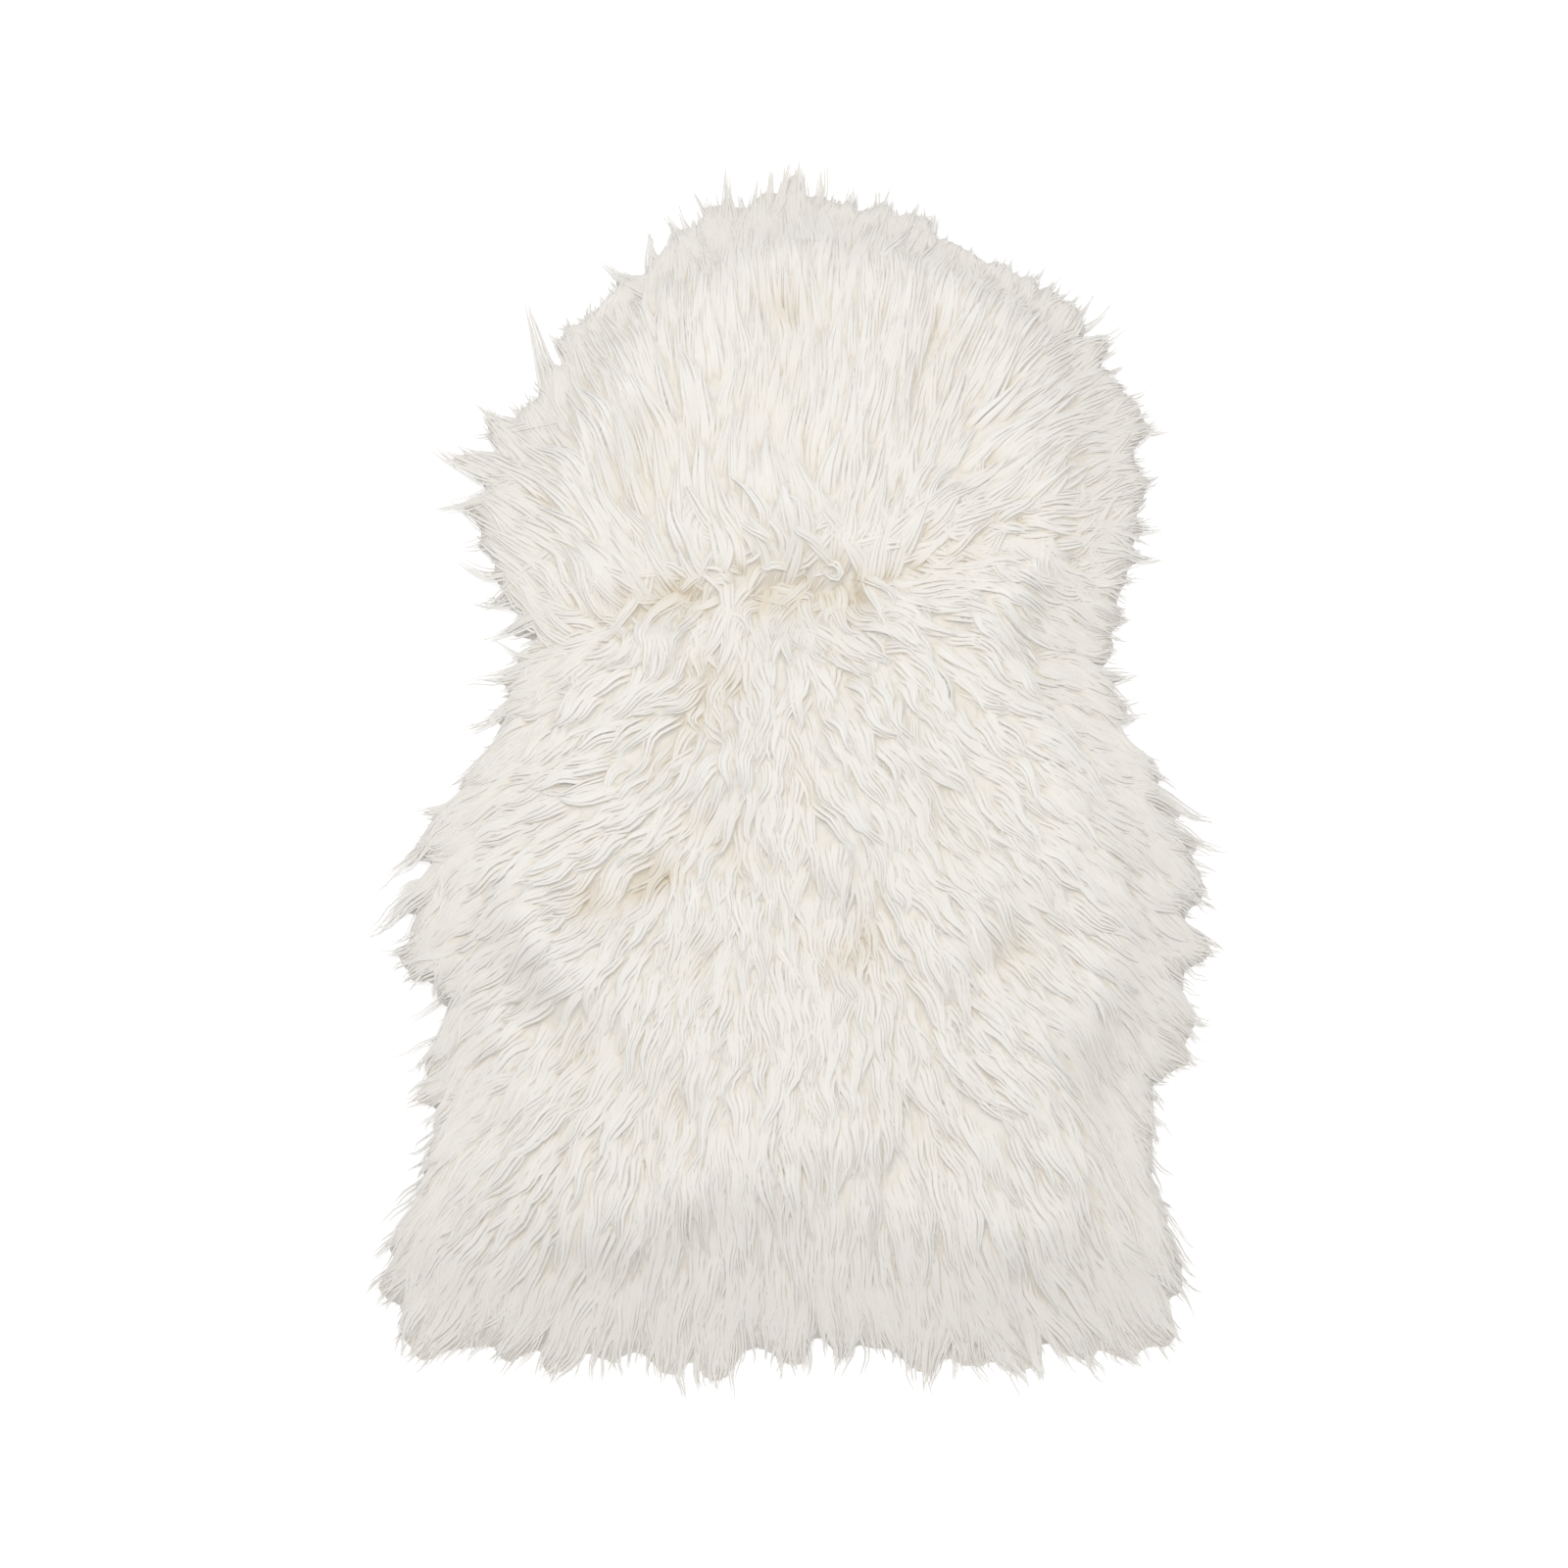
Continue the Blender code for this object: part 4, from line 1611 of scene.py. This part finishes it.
@dataclass
class Relief:
    """Height, paleness with painted shade, and reach of the topmost wool, on a fine grid."""

    ground: Ground
    strands: Strands
    cell: float = 1 * MM
    margin: float = 60 * MM
    softness: float = 1.2 * MM
    reach_softness: float = 7 * MM
    samples_along: int = 80
    samples_across: tuple[float, ...] = (-0.7, 0.0, 0.7)
    ridge: float = 0.8
    depth: float = 3.2 * MM
    least_height: float = 0.6
    # Painted shade: where the body shows between the strands it takes a lower share, lower again in
    # hollows, there partly for the open wool's own tan.
    depth_shaded_clean: float = 0.6
    depth_hollow_tan_and_shade: float = 0.4
    coarseness: int = 3
    drape_reach: float = 11 * MM
    broad_edge: tuple[float, float] = (0.48, 0.92)
    near_edge: tuple[float, float] = (0.50, 0.98)
    height: Field = field(init=False)
    clean: Field = field(init=False)
    cover: Field = field(init=False)
    drape: Field = field(init=False)

    def __post_init__(self) -> None:
        """Put points spread over every strand into the grid, and soften what they make.

        The cover is 1 where there is wool, and falls to 0 past its edge. Between strands the
        wool lies a depth below the fleece's own height, with painted shade in its colour there.
        """
        place = level_grid(self.margin, self.cell)
        height, clean = np.zeros((2, *place.shape[:2]))
        cover = (self.ground.inside.at(place) > 0).astype(float)
        for points, value in self.samples():
            order = np.argsort(points[:, 2])
            points, value = points[order], value[order]
            column, row = ((points[:, :2] - place[0, 0]) / self.cell).round().astype(int).T
            cover[column, row] = 1
            higher = points[:, 2] > height[column, row]
            cell = column[higher], row[higher]
            height[cell], clean[cell] = points[higher, 2], value[higher]
        self.cover = Field(place[0, 0], self.cell, cover).blurred(self.reach_softness)
        self.drape = self.draped(cover)
        base = self.ground.height.at(place)
        base = np.maximum(base - self.depth, self.least_height * base) * self.drape.at(place)
        # Painted shade in the body between the strands, and in hollows partly the open wool's own tan.
        base_shaded_clean = self.depth_shaded_clean - self.depth_hollow_tan_and_shade * self.ground.hollow.at(place)
        clean = np.where(base > height, base_shaded_clean, clean)
        self.height = self.cover.like(np.maximum(height, base)).blurred(self.softness)
        self.clean = self.cover.like(clean).blurred(self.softness)

    def draped(self, cover: Array) -> Field:
        """The share of its height that the wool keeps.

        Args:
            cover: 1 in each of the grid's cells that has wool.

        Returns:
            A coarser field, 1 inside and 0 at the edge of the wool, where it comes down to
            the floor. It is the lesser of two smooth steps, over the broad cover and the near.
        """
        every = slice(None, None, self.coarseness)
        broad = Field(self.cover.low, self.coarseness * self.cell, cover[every, every])
        broad = broad.blurred(self.drape_reach)
        covers = (broad.values, self.cover.values[every, every])
        edges = (self.broad_edge, self.near_edge)
        steps = [eased((cover - low) / (high - low)) for cover, (low, high) in zip(covers, edges)]
        return broad.like(np.minimum(*steps))

    def samples(self) -> Iterator[tuple[Array, Array]]:
        """Points on the strands' upper sides.

        Yields:
            For one place across every strand, the points along it and their paleness, painted shade
            included.
        """
        strands = self.strands
        share = np.tile(np.linspace(0, 1, self.samples_along), (len(strands.line), 1))
        line, aside = along(strands.line, share), along(strands.aside, share)
        girth = along(strands.girth[..., None], share)
        pale = along(strands.cleanness()[..., None], share).ravel()
        for place in self.samples_across:
            points = line + aside * girth * place
            points[..., 2] += girth[..., 0] * strands.flatness * (1 - abs(place)) * self.ridge
            yield points.reshape(-1, 3), pale


def spread(seed: Array, allowed: Array) -> Array:
    """The cells that can be reached over allowed ones, side by side.

    Args:
        seed: True for the cells to start from.
        allowed: True for the cells that may be reached.

    Returns:
        True for each cell reached, in as many rounds as the grid has columns and rows.
    """
    for _ in range(sum(seed.shape)):
        left, right, before, behind = beside(seed, "constant")
        seed = allowed & (seed | left | right | before | behind)
    return seed


@dataclass
class Pile:
    """The body of the wool under its loose strands: one closed surface in their relief."""

    relief: Relief
    cell: float = 2.05 * MM
    margin: float = 30 * MM
    sink: float = 1.1 * MM
    rim_sink: float = 2.4 * MM
    # Painted shade taken off the body's share where it lies sunk under the strands.
    sunk_painted_shade: float = 0.1
    underside: float = 0.6 * MM
    edge_cover: float = 0.80
    edge_run: float = 0.12
    edge_height: float = 0.5 * MM
    edge_move: float = 0.8
    mending_rounds: int = 4
    finish: ShadedUnderWoolFinish = ShadedUnderWoolFinish()

    def build(self) -> bpy.types.Object:
        """A level grid cut where the cover ends, raised to the relief, and closed below.

        Returns:
            The body. A low wall goes down from its border, and one level face closes it.
        """
        level, cells = self.cut_grid()
        border = border_loop(cells, len(level))
        level[border] = self.drawn_to_edge(level[border])
        foot = np.column_stack([level[border], np.full(len(border), self.underside)])
        points = np.vstack([np.column_stack([level, self.heights(level)]), foot])
        lower = len(level) + np.arange(len(border))
        wall = np.stack([lower, np.roll(lower, -1), np.roll(border, -1), border], -1)
        body = make_mesh("wool_body", points, [cells, wall, lower[::-1][None]])
        corners = np.concatenate([cells.ravel(), wall.ravel()])
        upward = self.relief.height.normals(points)[corners]
        downward = np.tile([0.0, 0.0, -1.0], (len(border), 1))
        body.data.normals_split_custom_set(np.vstack([upward, downward]))
        # The body's share is lowered as painted shade under the strands.
        pale = self.relief.clean.at(points) - self.sunk_painted_shade
        body.data.attributes.new("cleanness", "FLOAT", "POINT").data.foreach_set("value", pale)
        body.data.materials.append(self.finish.material())
        LOG.info("wool_body: %d triangles", 2 * len(cells) + 3 * len(border) - 2)
        return body

    def cut_grid(self) -> tuple[Array, Array]:
        """A level grid without the cells that the body hasn't.

        Returns:
            The points, as (point, axis), and the cells' point numbers, a row each.
        """
        place = level_grid(self.margin, self.cell)
        shape = place.shape[0] - 1, place.shape[1] - 1
        place, cells = place.reshape(-1, 2), grid_faces(*shape)
        kept = self.kept(self.relief.cover.at(place)[cells].reshape(*shape, 4))
        used, numbers = np.unique(cells[kept.ravel()], return_inverse=True)
        return place[used], numbers.reshape(-1, 4)

    def kept(self, cover: Array) -> Array:
        """Which cells the body has.

        Args:
            cover: The cover at each cell's corners, as (column, row, corner).

        Returns:
            True for cells with full cover that join the rug's middle, for gaps that they
            close in, and for cells that mend two which touch only at a corner.
        """
        full = (cover > self.edge_cover).all(-1)
        middle, outer = np.zeros((2, *full.shape), bool)
        middle[full.shape[0] // 2, full.shape[1] // 2] = True
        outer[0] = True
        kept = ~spread(outer, ~spread(middle, full))
        for _ in range(self.mending_rounds):
            kept[1:, :-1] |= kept[:-1, :-1] & kept[1:, 1:] & ~kept[:-1, 1:]
            kept[:-1, :-1] |= kept[1:, :-1] & kept[:-1, 1:] & ~kept[1:, 1:]
        return kept

    def drawn_to_edge(self, level: Array) -> Array:
        """Border places on the edge of the cover.

        Args:
            level: The border's places on the grid, as (point, axis).

        Returns:
            The places moved down or up the cover's slope to its edge, by less than a cell.
        """
        slope = self.relief.cover.slope(level)
        steep = (slope**2).sum(-1, keepdims=True) + 1e-9
        move = (self.edge_cover - self.relief.cover.at(level))[:, None] * slope / steep
        far = np.linalg.norm(move, axis=-1, keepdims=True) + 1e-12
        return level + move * np.minimum(1, self.edge_move * self.cell / far)

    def heights(self, level: Array) -> Array:
        """Height of the body's upper side.

        Args:
            level: Level places, as (point, axis).

        Returns:
            Heights a little under the relief's, which fall to the edge's as the cover thins.
        """
        relief = self.relief
        clear = eased((relief.cover.at(level) - self.edge_cover) / self.edge_run)
        edge = self.underside + self.edge_height
        sink = self.sink + self.rim_sink * (1 - relief.drape.at(level))
        return np.maximum(edge + (relief.height.at(level) - sink - edge) * clear, edge)


# The studio


class Lamp(NamedTuple):
    """A square soft light: its place, its width and its power in watts."""

    name: str
    place: tuple[float, float, float]
    width: float
    power: float


@dataclass
class Studio:
    """A pale floor, soft light from above and behind, and the camera."""

    aim: tuple[float, float, float] = (-0.003, -0.038, 0.0)
    elevation_deg: float = 67.0
    distance: float = 2.76
    lens_mm: float = 90.0
    sensor_mm: float = 36.0
    floor_size: float = 14.0
    floor_gap: float = 0.2 * MM
    floor_finish: FloorFinish = FloorFinish()
    sky: float = 0.60
    sky_colour: Colour = (1.0, 0.99, 0.975)
    lamps: tuple[Lamp, ...] = (
        Lamp("key_light", place=(-0.10, 0.13, 1.5), width=1.2, power=12.7),
        Lamp("top_light", place=(0.5, 0.0, 2.6), width=2.4, power=5.0),
    )

    def build(self) -> None:
        """Make the floor, the world, the lights and the camera."""
        self.floor()
        self.world()
        for lamp in self.lamps:
            self.light(lamp)
        self.camera()
        bpy.context.scene.view_settings.view_transform = "Standard"

    def floor(self) -> None:
        """A level sheet that the rug lies on."""
        half = self.floor_size / 2
        points = np.array([[-half, -half, 0], [half, -half, 0], [half, half, 0], [-half, half, 0.0]])
        floor = make_mesh("floor", points, [np.array([[0, 1, 2, 3]])])
        floor.location.z = -self.floor_gap
        floor.data.materials.append(self.floor_finish.material())

    def world(self) -> None:
        """An even pale sky."""
        world = bpy.data.worlds.new("soft_sky")
        world.use_nodes = True
        inputs = world.node_tree.nodes["Background"].inputs
        inputs["Color"].default_value = (*self.sky_colour, 1.0)
        inputs["Strength"].default_value = self.sky
        bpy.context.scene.world = world

    def light(self, lamp: Lamp) -> None:
        """Hang a lamp, turned to the rug's middle.

        Args:
            lamp: The lamp.
        """
        light = bpy.data.lights.new(lamp.name, "AREA")
        light.size, light.energy = lamp.width, lamp.power
        self.placed(lamp.name, light, Vector(lamp.place), -Vector(lamp.place))

    def camera(self) -> None:
        """A long lens that looks along +Y and down on the rug."""
        rise = np.radians(self.elevation_deg)
        back = Vector((0.0, -np.cos(rise), np.sin(rise)))
        data = bpy.data.cameras.new("camera")
        data.lens, data.sensor_width = self.lens_mm, self.sensor_mm
        place = Vector(self.aim) + back * self.distance
        bpy.context.scene.camera = self.placed("camera", data, place, -back)

    @staticmethod
    def placed(name: str, data: bpy.types.ID, place: Vector, way: Vector) -> bpy.types.Object:
        """Put a light or a camera into the scene.

        Args:
            name: The object's name.
            data: The light or the camera.
            place: Where it stands.
            way: The direction in which it looks.

        Returns:
            The object.
        """
        made = bpy.data.objects.new(name, data)
        made.location = place
        made.rotation_euler = way.to_track_quat("-Z", "Y").to_euler()
        bpy.context.scene.collection.objects.link(made)
        return made


# The whole


def grow_wool(
    ground: Ground, seed: int = 5, settled_softness: float = 4 * MM, shaded_softness: float = 2 * MM
) -> list[bpy.types.Object]:
    """The body of the wool and the strands on it.

    Args:
        ground: The form of the pelt.
        seed: What the random draws start from.
        settled_softness: How far the surface is blurred that the strands settle to.
        shaded_softness: How far the surface is blurred whose normals theirs lean on.

    Returns:
        The pieces. The strands are settled to the broad surface that they first make, and the
        relief is read again from where they then lie.
    """
    random = np.random.default_rng(seed)
    strands = Strands(ground, Locks(ground, Lay(), random), random)
    relief = Relief(ground, strands)
    strands.settle(relief.height.blurred(settled_softness), relief.drape)
    relief = Relief(ground, strands)
    shaded = relief.height.blurred(shaded_softness)
    return [Pile(relief).build(), *strands.build(shaded, WoolFinish())]


def enclosed_area(outline: Array) -> float:
    """Area within an outline, from the cross products of each point and the next."""
    after = np.roll(outline, -1, axis=0)
    return 0.5 * abs((outline[:, 0] * after[:, 1] - after[:, 0] * outline[:, 1]).sum())


def main() -> None:
    """Build the studio and the rug, and attach its pieces to the root body."""
    logging.basicConfig(level=logging.INFO, format="%(message)s")
    Studio().build()
    ground = Ground()
    hide = Hide(ground).build()
    wool = grow_wool(ground)
    for piece in wool:
        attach(piece, "root")
        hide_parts("fleece")
    area = enclosed_area(ground.outline)
    meshes = [thing.data for thing in (hide, *wool)]
    LOG.info("in all: %d triangles", sum(len(m.loops) - 2 * len(m.polygons) for m in meshes))


if __name__ == "__main__":
    main()
